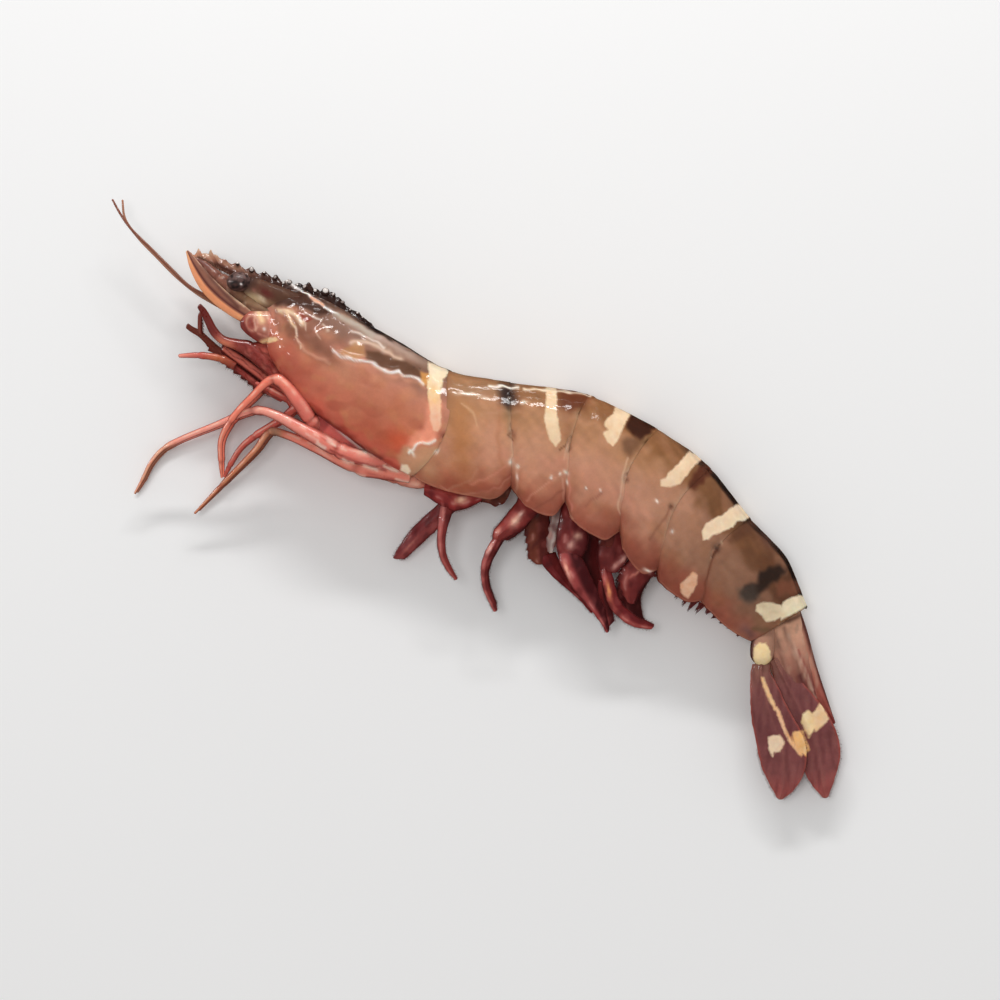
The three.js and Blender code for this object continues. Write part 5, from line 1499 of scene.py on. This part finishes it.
MOUTH_STRIPS = {  # upper edge, lower edge, heights, half thickness, colour at the base and at the tip
    "maxilliped_left": [
        ((296, 386, 280, 368, 264, 352, 251, 341, 238, 339, 225, 336, 217, 328, 211, 317, 206, 309, 200, 303),
         (288, 394, 271, 378, 257, 366, 246, 357, 235, 350, 221, 344, 211, 335, 205, 323, 201, 314, 197, 307),
         (12.9, 13.2, 13.5, 13.5, 13.4, 13.3, 13.2, 13.2, 13.2, 13.2),
         (1.1, 1.2, 1.3, 1.2, 1.1, 0.9, 0.7, 0.5, 0.4, 0.3), (176, 80, 72), (104, 38, 34)),
    ],
    "maxilliped_right": [
        ((296, 386, 270, 374, 252, 362, 236, 354, 220, 347, 209, 338, 200, 330, 192, 326, 186, 322),
         (288, 398, 262, 392, 246, 380, 230, 367, 214, 354, 205, 344, 197, 336, 189, 331, 184, 327),
         (7.1, 6.8, 6.6, 6.8, 7.2, 7.8, 8.0, 8.2, 8.4), (1.1, 1.3, 1.3, 1.1, 0.9, 0.6, 0.5, 0.4, 0.3),
         (128, 46, 40), (120, 62, 48)),
        ((197, 328, 197, 320, 198, 313, 201, 310), (201, 334, 201, 324, 202, 316, 204, 313),
         (8.4, 9.6, 10.8, 11.4), (0.5, 0.5, 0.45, 0.3), (150, 84, 70), (140, 66, 58)),
    ],
    "mouthparts": [
        ((290, 338, 274, 338, 260, 341, 250, 343, 242, 345), (292, 380, 280, 371, 266, 361, 254, 353, 246, 350),
         (13.0, 13.2, 13.2, 13.2, 13.2), (1.4, 1.5, 1.5, 1.2, 0.6), (176, 82, 70), (164, 70, 60)),
        ((300, 386, 276, 366, 258, 350, 240, 343, 224, 341), (290, 402, 264, 388, 246, 376, 230, 362, 218, 350),
         (9.6, 9.8, 9.8, 9.9, 10.2), (1.6, 1.8, 1.8, 1.5, 0.8), (96, 34, 32), (88, 32, 30)),
        ((294, 392, 272, 377, 257, 366, 246, 358, 235, 351, 224, 345),
         (287, 398, 265, 384, 252, 374, 241, 366, 230, 358, 221, 350), (11.4, 12.0, 12.2, 12.2, 12.2, 12.0),
         (0.8, 0.8, 0.8, 0.7, 0.6, 0.4), (196, 92, 80), (214, 116, 98)),
        ((286, 398, 264, 385, 251, 375, 240, 367, 229, 358), (280, 402, 259, 390, 246, 380, 235, 371, 225, 362),
         (10.8, 11.2, 11.4, 11.4, 11.2), (0.8, 0.7, 0.7, 0.6, 0.4), (168, 74, 66), (140, 54, 48)),
    ],
}


def mouth_tint(strip, start, end, seed):
    """From one colour to another along a strip, with pale streaks, dark edges and a dark middle line."""
    streaks = strip.streaks([0.5, 0.5, 1.0], 1.6, seed)
    tint = strip.shades(strip.along, [(0, start), (1, end)])
    tint = mixed(tint, (236, 150, 128), 0.45 * blend(0.1, 1.2, streaks) * blend(0.9, 0.3, strip.along)[:, None])
    tint = mixed(tint, MOUTH_DARK, 0.8 * blend(0.55, 0.95, np.abs(strip.over)))
    return mixed(tint, MOUTH_DARK, 0.7 * hump(strip.over + 0.05 + 0.25 * streaks, 0, 0.12))


def add_mouth():
    """The mouth's limbs: two long jaw feet with strips between them, a palp, and their hair."""
    bristles = Shape()
    for node, strips in MOUTH_STRIPS.items():
        shape = Shape()
        for k, (upper, lower, heights, thick, start, end) in enumerate(strips):
            strip = ribbon(upper, lower, heights, thick, columns=28, step=0.2)
            if node == "maxilliped_right" and k == 0:
                saw_edge(strip, -1, count=16, height=0.7, start=0.25, end=0.8)
            tint = mouth_tint(strip, start, end, 112 + k)
            if node == "maxilliped_left":
                tint = marked(tint, seen(strip.grid), [JAW_FOOT_SPOT])
            strip.add_to(shape, tint)
            fringe(bristles, strip, -1, count=60, length=0.7, colour=MOUTH_DARK, seed=116 + k,
                   start=0.15, end=0.7, lean=0.3)
        shape.skin(node, MOUTH_SKIN, "mouth")
    bristles.piece("mouth_bristles", BRISTLE, "mouth")
    palp = Limb(PALP, columns=20, step=0.2, joints=(1, 2))
    # dark edges: partly the shell's own colour, partly painted shade
    tint = mixed(palp.shades(palp.along, PALP_COLOURS), LEG_EDGE, 0.6 * blend(0.6, 1.0, np.abs(palp.over)))
    palp.painted(tint).skin("palp", LIMB_SKIN, "leg")


# ---------------------------------------------------------------- swimming legs

DEEP_CRIMSON, BLACK_CRIMSON = (118, 36, 36), (80, 20, 22)
PLEOPODS = {  # left edge, right edge, heights, half thickness, colours of the left and the right part
    "left_1": [
        ((424, 495, 436, 503, 452, 511, 468, 508, 484, 500), (426, 482, 440, 480, 455, 484, 470, 486, 486, 488),
         (12.0, 12.4, 12.6, 12.6, 12.2), (1.2, 1.5, 1.6, 1.5, 1.0), (150, 44, 42), (164, 60, 56)),
        ((441, 498, 438, 520, 437, 540, 439, 556, 446, 570, 455, 581),
         (455, 503, 450, 520, 446, 535, 446, 552, 451, 566, 458, 579), (11.6, 12.8, 12.2, 11.2, 10.2, 9.2),
         (1.0, 0.9, 0.8, 0.7, 0.5, 0.3), (180, 88, 82), (134, 50, 48)),
    ],
    "right_1": [
        ((444, 484, 440, 501, 423, 517, 409, 531, 398, 547, 392, 559),
         (464, 500, 443, 523, 430, 536, 416, 549, 404, 559, 396, 560), (6.5, 6.2, 5.6, 5.0, 4.2, 3.8),
         (1.2, 0.9, 0.6, 0.5, 0.4, 0.3), (132, 46, 48), (150, 66, 64)),
    ],
    "left_2": [
        ((520, 488, 517, 500, 508, 512, 500, 522, 494, 530, 491, 540),
         (542, 510, 531, 520, 524, 528, 515, 534, 506, 538, 501, 541), (12.6, 13.0, 13.2, 13.2, 13.0, 12.6),
         (1.4, 1.6, 1.7, 1.6, 1.3, 0.9), (158, 60, 54), (140, 50, 46)),
        ((494, 536, 487, 548, 482, 560, 481, 575, 483, 590, 489, 603, 494, 613),
         (503, 538, 497, 550, 491, 562, 488, 575, 490, 590, 495, 602, 498, 611),
         (12.8, 12.4, 11.8, 11.0, 10.2, 9.2, 8.4), (0.9, 0.8, 0.7, 0.6, 0.5, 0.4, 0.3), (186, 96, 90),
         (128, 44, 42)),
    ],
    "right_2": [
        ((522, 490, 512, 510, 502, 524, 496, 536), (542, 508, 528, 526, 516, 536, 506, 542),
         (6.2, 6.1, 6.0, 5.4), (1.4, 1.6, 1.5, 0.9), (124, 40, 38), (112, 34, 34)),
        ((497, 534, 489, 548, 484, 560, 483, 575, 485, 588, 490, 599, 494, 607),
         (506, 538, 498, 551, 492, 563, 489, 575, 491, 588, 495, 599, 497, 606),
         (5.4, 4.6, 4.0, 3.4, 2.8, 2.2, 1.8), (0.8, 0.7, 0.6, 0.5, 0.45, 0.4, 0.3), (128, 46, 44),
         (98, 28, 28)),
    ],
    "left_3": [
        ((562, 500, 560, 515, 557, 530, 556, 545, 560, 558), (590, 506, 586, 520, 588, 535, 586, 548, 580, 560),
         (12.6, 12.8, 12.9, 12.7, 12.2), (1.3, 1.3, 1.2, 0.9, 0.4), (130, 44, 42), (104, 30, 32)),
        ((557, 550, 560, 563, 566, 576, 573, 588, 583, 600, 593, 613, 602, 625, 607, 634),
         (578, 550, 585, 563, 591, 576, 597, 590, 602, 602, 606, 612, 609, 624, 610, 632),
         (12.0, 12.8, 12.6, 12.0, 11.2, 10.2, 9.2, 8.6), (0.9, 0.8, 0.7, 0.6, 0.5, 0.45, 0.4, 0.3),
         (168, 70, 68), (74, 16, 20)),
    ],
    "right_3": [
        ((533, 500, 529, 517, 526, 530, 528, 545, 530, 558, 538, 566),
         (553, 500, 550, 517, 551, 530, 550, 545, 549, 556, 546, 564), (6.2, 6.2, 6.1, 5.8, 5.4, 5.0),
         (1.2, 0.9, 0.7, 0.6, 0.5, 0.4), (132, 62, 44), (112, 44, 38)),
        ((537, 558, 547, 571, 558, 582, 570, 592, 582, 603, 592, 615),
         (556, 552, 562, 566, 568, 578, 576, 590, 588, 602, 594, 614), (5.2, 4.8, 4.4, 3.8, 3.2, 2.8),
         (0.7, 0.7, 0.6, 0.5, 0.4, 0.3), (130, 34, 36), DEEP_CRIMSON),
    ],
    "left_4": [
        ((602, 526, 600, 540, 598, 555, 600, 572), (630, 530, 629, 548, 626, 562, 616, 574),
         (12.2, 12.2, 12.0, 11.5), (1.3, 1.3, 1.0, 0.5), (122, 42, 40), (120, 42, 40)),
        ((599, 568, 602, 582, 605, 594, 609, 606, 617, 616, 629, 625, 642, 629, 653, 630),
         (610, 566, 614, 580, 617, 592, 622, 603, 630, 611, 639, 618, 647, 621, 656, 625),
         (11.2, 11.8, 11.4, 10.6, 9.8, 9.0, 8.2, 7.7), (0.9, 0.8, 0.75, 0.7, 0.6, 0.5, 0.4, 0.3), (172, 74, 68),
         (120, 34, 36)),
        ((598, 580, 598, 595, 602, 610, 606, 630), (607, 582, 608, 596, 612, 610, 615, 622),
         (11.2, 10.6, 9.8, 8.8), (0.5, 0.5, 0.4, 0.3), DEEP_CRIMSON, BLACK_CRIMSON),
    ],
    "right_4": [
        ((584, 524, 574, 548, 575, 565, 580, 580, 589, 597, 598, 612, 607, 626),
         (612, 526, 606, 545, 606, 560, 605, 575, 607, 592, 609, 610, 613, 622),
         (5.8, 5.6, 5.4, 5.0, 4.4, 3.8, 3.3), (1.4, 1.0, 0.7, 0.6, 0.5, 0.4, 0.3), BLACK_CRIMSON,
         (104, 30, 30)),
    ],
    "left_5": [
        ((638, 548, 628, 562, 620, 574, 622, 590, 628, 603), (662, 566, 652, 577, 642, 588, 638, 596, 634, 605),
         (11.2, 11.4, 11.2, 10.4, 9.6), (1.3, 1.2, 1.0, 0.7, 0.35), (150, 62, 56), (128, 44, 42)),
    ],
    "right_5": [
        ((636, 548, 622, 572, 617, 588, 619, 602, 626, 612, 637, 621),
         (660, 564, 650, 582, 644, 592, 642, 602, 643, 611, 646, 622), (5.2, 5.0, 4.8, 4.4, 3.8, 3.3),
         (1.3, 1.0, 0.8, 0.6, 0.45, 0.3), (100, 26, 26), (76, 20, 20)),
    ],
}
SAWN = ("right_3", "right_5", "left_5")  # the legs whose first blade has a sawn left edge
SWIM_PATCHES_AND_HIGHLIGHTS = [  # pale patches and painted wet highlights on the swimming legs: picture place, half sizes in mm, turn, colour, strength
    (461, 500, 1.4, 0.8, 15, (252, 206, 170), 0.95), (515, 521, 0.9, 1.5, -35, (252, 206, 180), 0.95),
    (521, 514, 0.5, 1.0, -35, (250, 214, 196), 0.8), (498, 531, 0.5, 0.9, -35, (240, 170, 150), 0.8),
    (490, 548, 0.35, 1.4, -28, (255, 214, 196), 0.8), (578, 536, 0.9, 0.9, -35, (244, 196, 170), 0.9),
    (571, 545, 0.9, 1.2, -35, (236, 186, 170), 0.8), (567, 570, 0.45, 2.2, 20, (255, 190, 164), 0.95),
    (623, 559, 0.6, 1.5, -40, (240, 186, 172), 0.9), (615, 566, 0.5, 1.0, -40, (232, 170, 156), 0.8),
    (609, 590, 0.5, 1.9, 10, (250, 168, 110), 0.95), (636, 573, 2.0, 0.3, 35, (236, 150, 130), 0.8),
    (648, 572, 1.0, 0.5, -20, (246, 196, 180), 0.9), (443, 512, 0.3, 1.8, 5, (222, 140, 130), 0.8),
    (410, 545, 2.2, 0.3, 48, (206, 130, 116), 0.7), (443, 492, 2.4, 0.5, -10, (196, 90, 80), 0.6),
]
MEMBRANES = [  # the same, of the thin skins between the swimming legs
    ((468, 505, 480, 501, 496, 506, 506, 501, 512, 488), (468, 484, 480, 482, 495, 480, 508, 476, 514, 470),
     (11.6, 11.8, 12.0, 12.0, 12.0), (0.4, 0.4, 0.35, 0.3, 0.25), (112, 62, 46), (150, 92, 70)),
    ((551, 505, 551, 514, 549, 528, 546, 540, 547, 552), (568, 500, 565, 510, 562, 524, 557, 538, 553, 554),
     (11.8, 11.8, 11.6, 11.2, 10.8), (0.3, 0.3, 0.3, 0.3, 0.25), (168, 142, 134), (206, 184, 176)),
    ((594, 520, 597, 534, 600, 546), (616, 520, 616, 534, 612, 548), (13.6, 13.6, 13.4), (0.4, 0.4, 0.3),
     (94, 34, 30), (112, 46, 38)),
    ((640, 560, 648, 566, 656, 572), (654, 552, 662, 560, 668, 568), (12.6, 12.6, 12.4), (0.5, 0.5, 0.4),
     (120, 40, 36), (150, 70, 58)),
]


def swim_tint(blade, left, right, seed):
    """One colour along a blade's left part and another along its right, with streaks, a pale line by the rib
    that is a painted highlight, and dark edges.
    """
    tint = mixed(blade.plain(right), left, blend(-0.25, 0.35, blade.over))
    streaks = blade.streaks([0.6, 0.35, 0.5], 1.3, seed)
    tint = mixed(tint, BLACK_CRIMSON, 0.4 * blend(0.2, 1.2, streaks))
    tint = mixed(tint, (206, 120, 112), 0.25 * blend(0.5, 1.3, -streaks))
    # painted highlight along the rib
    tint = mixed(tint, (236, 180, 168), 0.4 * hump(blade.over, 0.45, 0.14) * blend(0.0, 1.0, -streaks))
    return mixed(tint, BLACK_CRIMSON, 0.55 * blend(0.75, 1.0, np.abs(blade.over)))


def add_pleopod(index, side):
    """A swimming leg: a thick base, flat crimson branches, and a fringe of bristles."""
    shape, bristles = Shape(), Shape()
    key = f"{side}_{index + 1}"
    for k, (*form, left_colour, right_colour) in enumerate(PLEOPODS[key]):
        seed = 200 + 10 * index + k
        blade = ribbon(*form, columns=40, step=0.22, waves=0.12, seed=seed, rib=0.25)
        if key in SAWN and k == 0:
            saw_edge(blade, 1, count=9, height=0.55, start=0.3, end=0.95)
        tint = swim_tint(blade, left_colour, right_colour, seed)
        if side == "left" or index == 0:
            # pale patches, partly painted highlights
            tint = marked(tint, seen(blade.grid) + 0.1 * ripple_pair(blade.grid, 0.9, 0.8, 3), SWIM_PATCHES_AND_HIGHLIGHTS)
        blade.add_to(shape, tint)
        for edge in (1, -1):
            fringe(bristles, blade, edge, count=80, length=0.5, colour=DEEP_CRIMSON, seed=seed + edge,
                   start=0.4, end=0.98, lean=0.9, thick=0.035)
    node = f"pleopod_{key}"
    shape.skin(node, SWIM_SKIN, "swimmeret")
    bristles.piece(f"{node}_bristles", BRISTLE, "swimmeret")


def add_membranes():
    """Thin folded skins between the flaps and the swimming legs."""
    shape = Shape()
    for k, (*form, left_colour, right_colour) in enumerate(MEMBRANES):
        skin = ribbon(*form, columns=32, step=0.22, waves=0.35, seed=280 + k)
        skin.add_to(shape, swim_tint(skin, left_colour, right_colour, 290 + k))
    shape.piece("membranes", LIMB_SKIN, "swimmeret")


# ---------------------------------------------------------------- the tail fan

TELSON = [(65.4, -21.4, 6.8, 3.4, 2.3), (66.6, -24.2, 6.6, 3.3, 2.1), (68.6, -29.8, 6.4, 3.2, 1.9),
          (71.4, -36.6, 5.9, 2.3, 1.4), (74.6, -43.4, 5.4, 1.4, 0.9), (77.5, -48.6, 5.1, 0.3, 0.3)]
TELSON_COLOURS = [(0, (212, 162, 136)), (0.3, (206, 148, 122)), (0.7, (166, 96, 82)), (1, TAIL_RED)]
FANS = {  # x, y, z, half width and, where it differs, half thickness
    "left": {
        "base": [(61.8, -27.0, 8.6, 2.2), (62.0, -28.6, 9.0, 2.4), (61.6, -32.4, 9.4, 2.6),
                 (61.3, -35.8, 9.3, 2.1)],
        "outer": [(61.4, -35.6, 9.0, 1.9, 0.9), (61.3, -37.6, 9.1, 2.2, 0.9), (62.0, -41.0, 9.2, 3.1, 0.6),
                  (63.4, -46.6, 8.9, 4.2, 0.5), (65.8, -53.4, 8.1, 5.2, 0.45), (66.4, -58.4, 7.3, 4.6, 0.4),
                  (66.1, -62.2, 6.6, 2.7, 0.35), (65.5, -64.9, 6.2, 0.5, 0.3)],
        "inner": [(64.2, -34.4, 8.2, 1.2, 0.8), (65.0, -36.0, 8.0, 1.3, 0.7), (67.6, -41.0, 7.5, 3.2, 0.5),
                  (71.8, -49.2, 6.7, 5.0, 0.45), (74.0, -54.9, 6.1, 4.8, 0.4), (74.8, -60.4, 5.5, 2.9, 0.35),
                  (75.6, -64.7, 5.0, 0.5, 0.3)],
    },
    "right": {
        "base": [(62.0, -27.0, 4.2, 2.0), (62.2, -28.6, 3.9, 2.2), (61.8, -32.4, 3.6, 2.4),
                 (61.6, -35.8, 3.2, 1.9)],
        "outer": [(61.6, -35.6, 3.0, 1.3, 0.9), (61.6, -37.6, 2.9, 1.6, 0.8), (62.6, -41.0, 2.4, 2.8, 0.6),
                  (64.2, -46.6, 1.6, 3.9, 0.5), (66.4, -53.0, 0.8, 4.8, 0.45), (66.8, -57.8, 0.4, 4.2, 0.4),
                  (66.6, -61.2, 0.3, 2.4, 0.35), (66.2, -63.6, 0.3, 0.5, 0.3)],
        "inner": [(64.4, -34.4, 4.2, 1.2, 0.8), (65.2, -36.0, 4.0, 1.2, 0.7), (67.8, -41.0, 3.7, 3.0, 0.5),
                  (71.8, -48.8, 3.1, 4.6, 0.45), (73.8, -54.2, 2.5, 4.4, 0.4), (74.6, -59.4, 2.0, 2.7, 0.35),
                  (75.2, -63.4, 1.7, 0.5, 0.3)],
    },
}
OUTER_PATCHES = [  # outline, colour
    (marks(768, 737, 774, 735, 780, 735, 785, 742, 780, 752, 774, 752, 773, 757, 769, 751), (252, 220, 184)),
    (marks(761, 677, 764, 677, 767, 685, 771, 695, 775, 704, 778, 710, 775, 711, 771, 704, 766, 694, 763, 686),
     (255, 200, 138)),
    (marks(774, 706, 777, 706, 782, 716, 785, 726, 789, 736, 797, 746, 803, 755, 801, 757, 795, 750, 789, 742,
           784, 732, 780, 722), (255, 188, 136)),
    (marks(792, 732, 801, 731, 805, 740, 809, 750, 806, 756, 800, 752, 795, 745), (255, 190, 108)),
]
INNER_PATCHES = [
    (marks(791, 730, 803, 731, 806, 740, 810, 750, 806, 754, 800, 752, 795, 745), (255, 190, 108)),
    (marks(803, 714, 808, 710, 813, 714, 815, 728, 809, 738, 805, 730, 801, 722), (255, 222, 162)),
    (marks(812, 713, 817, 708, 820, 702, 824, 708, 829, 719, 824, 725, 820, 728, 816, 732, 812, 724),
     (250, 204, 152)),
]
BASE_PATCHES = [(marks(754, 648, 758, 643, 766, 643, 770, 650, 771, 660, 769, 668, 763, 670, 756, 666, 753,
                       658), (255, 224, 164))]
FAN_ROOT = (  # left edge, right edge, heights, half thickness
    (752, 612, 755, 640, 768, 664, 779, 688, 790, 712), (800, 600, 805, 632, 811, 660, 816, 686, 822, 712),
    (7.0, 7.1, 7.0, 6.6, 6.2), (2.2, 2.3, 1.8, 1.2, 0.4),
)
ROOT_COLOURS = [(0, (214, 164, 136)), (0.25, (222, 170, 142)), (0.5, (182, 128, 108)), (0.75, (124, 70, 62)),
                (1, (92, 44, 44))]
BLADE_COLOURS = [(0, (150, 104, 90)), (0.2, (132, 80, 78)), (0.5, (122, 70, 70)), (0.8, (138, 80, 78)),
                 (0.94, (158, 82, 78)), (1.0, (168, 96, 88))]
NO_PATCHES = [(oval(0, 90, 1, 1), CREAM)]  # far off the prawn, as the tail's material needs a patch
FAN_LINES = [(marks(784, 628, 791, 646, 798, 668, 803, 684), 0.4, (126, 88, 74), 0.6),
             (marks(774, 634, 780, 652, 786, 674), 0.4, (122, 84, 72), 0.6),
             (marks(788, 634, 797, 652, 807, 672, 813, 690), 0.28, (206, 172, 152), 0.6),
             (marks(768, 628, 779, 623, 791, 620, 801, 615), 0.5, (92, 62, 50), 0.7),
             (marks(777, 664, 784, 680, 793, 700), 0.5, (96, 50, 46), 0.6),
             (marks(800, 676, 806, 692, 812, 706), 0.5, (88, 40, 42), 0.7),
             (marks(790, 645, 800, 665, 812, 690, 822, 712), 0.22, (196, 158, 138), 0.6),
             (marks(782, 650, 790, 672, 802, 700), 0.2, (176, 134, 116), 0.5),
             (marks(770, 650, 776, 668, 786, 690), 0.3, (84, 46, 42), 0.6),
             (marks(798, 650, 810, 676, 822, 704, 832, 724), 0.22, (146, 74, 66), 0.6)]


def tail_blade(stations, seed, columns=72):
    """A blade of the fan, with a rib down its middle and fine slanting ridges off it."""
    blade = Limb(stations, columns=columns, step=0.22, rib=0.9, cup=0.05, waves=0.12, seed=seed)
    slant = blade.along[:, None] * 26 - np.abs(blade.over) * 5.0
    ridges = 0.045 * np.sin(2 * math.pi * slant) * blend(0.05, 0.4, np.abs(blade.over))
    blade.grid = blade.grid + UP * (ridges * np.sign(np.cos(blade.angle)))[..., None]
    return blade


def tail_tint(blade, seed):
    """A blade's maroon, with long streaks, a redder edge and a pale rib."""
    streaks = blade.streaks([1.0, 0.25, 0.1], 1.6, seed)
    tint = mixed(blade.shades(blade.along, BLADE_COLOURS), MAROON_DARK, 0.22 * blend(0.1, 1.0, streaks))
    tint = mixed(tint, (158, 104, 92), 0.2 * blend(0.3, 1.2, -streaks))
    tint = mixed(tint, (168, 80, 70), 0.7 * blend(0.86, 1.0, np.abs(blade.over)))
    return mixed(tint, (146, 94, 86), 0.3 * hump(blade.over, 0, 0.1))


def add_telson():
    """The tail's pointed middle plate, grooved along its top."""
    telson = Limb(TELSON, columns=48, step=0.2, cup=-0.1)
    groove = -0.25 * hump(np.sin(telson.angle), 0, 0.18) * (np.cos(telson.angle) > 0)
    groove = groove * blend(0.15, 0.5, telson.along)[:, None]
    telson.grid = telson.grid + telson.top[:, None] * groove[..., None]
    tint = mixed(telson.shades(telson.along, TELSON_COLOURS), (84, 40, 36), 0.85 * hump(telson.over, 0.9, 0.18))
    tint = marked(tint, seen(telson.grid), strokes=FAN_LINES)
    tint = mixed(tint, (190, 150, 128), 0.4 * blend(0.3, 1.1, telson.streaks([1, 0.3, 1], 1.8, 300)))
    telson.painted(tint).skin("telson", TAIL_SKIN, "tail", NO_PATCHES)


def add_fan_root():
    """The skin that joins the fan's blades to the last ring."""
    root = ribbon(*FAN_ROOT, columns=48, step=0.2, waves=0.1, seed=305)
    tint = root.shades(root.along, ROOT_COLOURS)
    tint = mixed(tint, (176, 138, 116), 0.5 * blend(0.3, 1.2, root.streaks([1, 0.4, 1], 1.8, 306)))
    tint = marked(tint, seen(root.grid), strokes=FAN_LINES)
    root.painted(tint).piece("fan_root", TAIL_SKIN, "tail", (), NO_PATCHES)


def add_fan_blade(part, side, seed, patches):
    blade = tail_blade(FANS[side][part], seed)
    node = f"uropod_{part}_{side}"
    blade.painted(tail_tint(blade, seed)).skin(node, TAIL_SKIN, "tail", patches)
    bristles = Shape()
    for edge in (1, -1):
        fringe(bristles, blade, edge, count=160, length=0.55, colour=(120, 60, 54), seed=seed + edge,
               start=0.55, end=0.99, lean=0.9, thick=0.03)
    bristles.piece(f"{node}_bristles", BRISTLE, "tail")


def add_tail():
    add_telson()
    add_fan_root()
    for k, side in enumerate(FANS):
        base = Limb(FANS[side]["base"], columns=40, step=0.2)
        tint = mixed(base.plain((178, 132, 110)), (96, 50, 46), 0.6 * blend(0.7, 1.0, base.along)[:, None])
        tint = mixed(tint, (64, 34, 32), 0.8 * blend(0.6, 0.95, -base.over))
        base.painted(tint).skin(f"uropod_base_{side}", TAIL_SKIN, "tail", BASE_PATCHES)
        for part, patches in (("outer", OUTER_PATCHES), ("inner", INNER_PATCHES)):
            add_fan_blade(part, side, 310 + 10 * k + len(part), patches)


# ---------------------------------------------------------------- small details

TUFTS = [  # picture places of the tufts' tips
    (652, 577), (662, 583), (667, 590), (676, 599), (683, 606), (688, 611), (696, 612), (706, 615), (713, 619),
    (721, 624), (729, 629), (738, 636),
]
TUFT_BRISTLES = 16
EDGE_STEPS = 300  # points along the flaps' lower edge that a tuft can root at
BEAD_COLOUR, WHITE = (56, 36, 32), (255, 255, 255)


def add_flap_bristles():
    """Tufts of bristles under the rear rings, each tuft drawn to a point."""
    draw = np.random.default_rng(400)
    shape = Shape()
    stations = np.linspace(8.2, 11.9, EDGE_STEPS)
    last = EDGE_STEPS - 1
    for side in (1, -1):
        turn = np.full(EDGE_STEPS, side * LOWER_EDGE * 0.97)
        edges = trunk_points(stations, turn, np.zeros(EDGE_STEPS), 0.0)
        for column, row in TUFTS:
            tip = np.array(marks(column, row)[0])
            near = np.argmin(((seen(edges) - tip) ** 2).sum(axis=-1))
            root = edges[near]
            run = unit(edges[min(near + 3, last)] - edges[near - 3])
            point = np.array([*tip, root[2] - 0.4 * side]) + draw.normal(size=3) * 0.12
            roots = root + run * draw.uniform(-0.75, 0.75, (TUFT_BRISTLES, 1))
            add_tuft(shape, roots, point, draw)
    shape.piece("flap_bristles", BRISTLE, "body_shell")


def add_tuft(shape, roots, point, draw):
    for root in roots:
        run = point + draw.normal(size=3) * 0.08 - root
        seed = int(draw.integers(1 << 30))
        add_hairs(shape, root[None], run[None], np.linalg.norm(run), (122, 46, 42), seed,
                  thick=0.12, droop=0.0, spread=0.02)


def add_drops():
    """Dark wet beads along the crest, each with a painted highlight, and small drops of water that stand on the
    shell.
    """
    draw = np.random.default_rng(500)
    beads, drops = Shape(), Shape()
    top = CREST_TOP[0]
    for column, radius in CREST_BEADS:
        x = marks(column, 0)[0][0]
        y = np.interp(x, top[:, 0], top[:, 1]) - 0.85 * radius
        for sign in (1, -1):
            centre = np.array([x, y, HEAD_MIDDLE + sign * 0.65])
            add_drop(beads, centre, radius, draw, BEAD_COLOUR, BEAD_PAINTED_HIGHLIGHT)
    beads.piece("crest_beads", BEAD_SKIN, "head_shell")
    shell = np.vstack(SHELL_POINTS)
    for column, row in SHELL_DROPS:
        place = np.array(marks(column, row)[0])
        root = shell[np.argmin(((seen(shell) - place) ** 2).sum(axis=-1) - 0.001 * shell[:, 2])]
        add_drop(drops, root, draw.uniform(0.2, 0.34), draw, WHITE, WHITE)
    drops.piece("water_drops", WATER, "body_shell")


def add_drop(shape, centre, radius, draw, colour, shine):
    """A small uneven ball, with a highlight painted on one side."""
    ball = globe(rows=16, columns=22, margin=0.15)
    stretch = radius * draw.uniform(0.8, 1.25, 3)
    points = np.vstack([(ball * stretch + centre).reshape(-1, 3),
                        [centre + [0, 0, stretch[2]], centre - [0, 0, stretch[2]]]])
    # the side of the painted highlight, a little different for each ball
    turned = unit(PAINTED_HIGHLIGHT_SIDE + draw.normal(size=3) * 0.25)
    edge = draw.uniform(0.45, 0.8)
    # share of the painted highlight
    lit = blend(edge, edge + 0.08, unit(points - centre) @ turned) * draw.uniform(0.5, 1.0)
    faces = outward(points, tube_faces(*ball.shape[:2]))
    shape.add(points, faces, mixed(rgb(colour) + 0 * points, shine, lit))


# ---------------------------------------------------------------- the prawn

make_camera()
make_studio()
for ring in range(len(RINGS)):
    add_ring(ring)
add_carapace()
add_crest()
for animal_side in ("left", "right"):
    add_eye(animal_side)
    add_antennule(animal_side)
    add_antenna(animal_side)
    for number in range(len(LEGS)):
        add_leg(number, animal_side)
    for number in range(len(PLEOPODS) // 2):
        add_pleopod(number, animal_side)
add_sternum()
add_mouth()
add_membranes()
add_tail()
add_flap_bristles()
add_drops()
